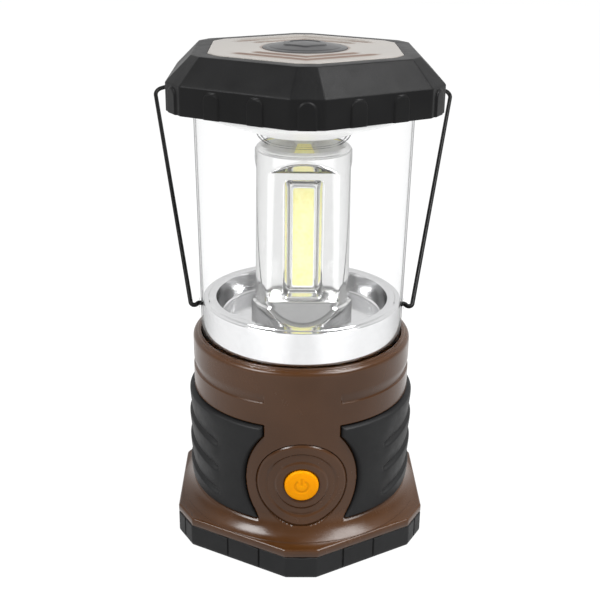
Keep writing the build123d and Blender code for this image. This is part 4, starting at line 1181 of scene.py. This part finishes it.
# ---- studio --------------------------------------------------------------------------
def floor():
    """Pale matt floor that glows: greyer straight in front of the part, brighter to both sides of that."""
    mesh = bpy.data.meshes.new("floor")
    reach = FLOOR_REACH
    mesh.from_pydata([(-reach, -reach, 0), (reach, -reach, 0), (reach, reach, 0), (-reach, reach, 0)], [],
                     [(0, 1, 2, 3)])
    n = Nodes("floor")
    aside = n.times(n.axis("X"), 0.0, "ABSOLUTE")
    glow = n.mix(n.ramp(n.axis("Y"), -0.16, -0.28), (0.98, 0.98, 0.98), n.ramp(aside, 0.05, 0.14, 0.90, 1.16))
    n.surface(Base_Color=(0.06, 0.06, 0.06, 1), Roughness=0.9, Specular_IOR_Level=0.0, Emission_Color=glow,
              Emission_Strength=1.0)
    mesh.materials.append(n.owner)
    new_object("floor", mesh)


def area_light(name, location, turn, size, power):
    """Soft box that faces straight down, turned about the upright."""
    data = bpy.data.lights.new(name, "AREA")
    data.shape = "RECTANGLE"
    data.size, data.size_y = size
    data.energy = power
    light = new_object(name, data)
    light.location = location
    light.rotation_euler = (0.0, 0.0, math.radians(turn))


def make_world():
    """Surroundings: white behind and low down, greyer in front and at the sides, dark overhead."""
    n = Nodes("studio", bpy.data.worlds, "World", "Generated")
    x, y, z = (n.axis(name) for name in "XYZ")

    def shade(*numbers):
        return n.ramp(*numbers, interpolation_type="SMOOTHSTEP")

    overhead = n.times(shade(z, 0.50, 0.84, 1.0, 0.55), shade(z, 0.84, 0.93, 1.0, 0.15))
    sides = shade(n.times(x, 0.0, "ABSOLUTE"), 0.72, 0.92, 1.0, 0.50)
    front = n.times(shade(y, -0.20, 0.10, 0.42, 1.0), shade(z, 0.74, 0.82), "MAXIMUM")
    around = n.times(n.times(sides, front), shade(z, 0.30, 0.14), "MAXIMUM")
    n.show(n.add("ShaderNodeBackground", {"Color": n.times(overhead, around), "Strength": 1.0}))
    bpy.context.scene.world = n.owner


def make_studio():
    make_world()
    floor()
    area_light("box_left", (-0.89, -0.60, 1.10), -38.0, (0.54, 0.84), 27.0)
    area_light("box_right", (0.72, -0.42, 1.10), 35.0, (0.52, 1.16), 30.0)


def make_camera():
    """Camera in front of the part and above it, looking down on it."""
    data = bpy.data.cameras.new("camera")
    data.sensor_width, data.lens = 36.0, CAMERA_LENS
    data.clip_start, data.clip_end = 0.01, 20
    camera = new_object("camera", data)
    x, y, z = (value * MM for value in CAMERA_PLACE)
    c, s = math.cos(CAMERA_ORBIT), math.sin(CAMERA_ORBIT)
    camera.location = (x * c - y * s, x * s + y * c, z)
    turns = ((CAMERA_ORBIT + CAMERA_YAW, "Z"), (CAMERA_TILT, "X"), (CAMERA_ROLL, "Z"))
    aim = Matrix.Identity(4)
    for angle, about in turns:
        aim = aim @ Matrix.Rotation(angle, 4, about)
    camera.rotation_mode = "QUATERNION"
    camera.rotation_quaternion = aim.to_quaternion()
    bpy.context.scene.camera = camera


def main():
    make_materials()
    dress_cad_nodes()
    make_camera()
    make_studio()
    make_housing()
    make_foot()
    for side in (-1, 1):
        make_grip(side)
    for make in (make_button, make_globe, make_dish, make_globe_top, make_column, make_column_cap, make_lights,
                 make_cap, make_cap_plate, make_medallion, make_bail):
        make()


main()
bpy.context.scene.view_settings.view_transform = "Standard"
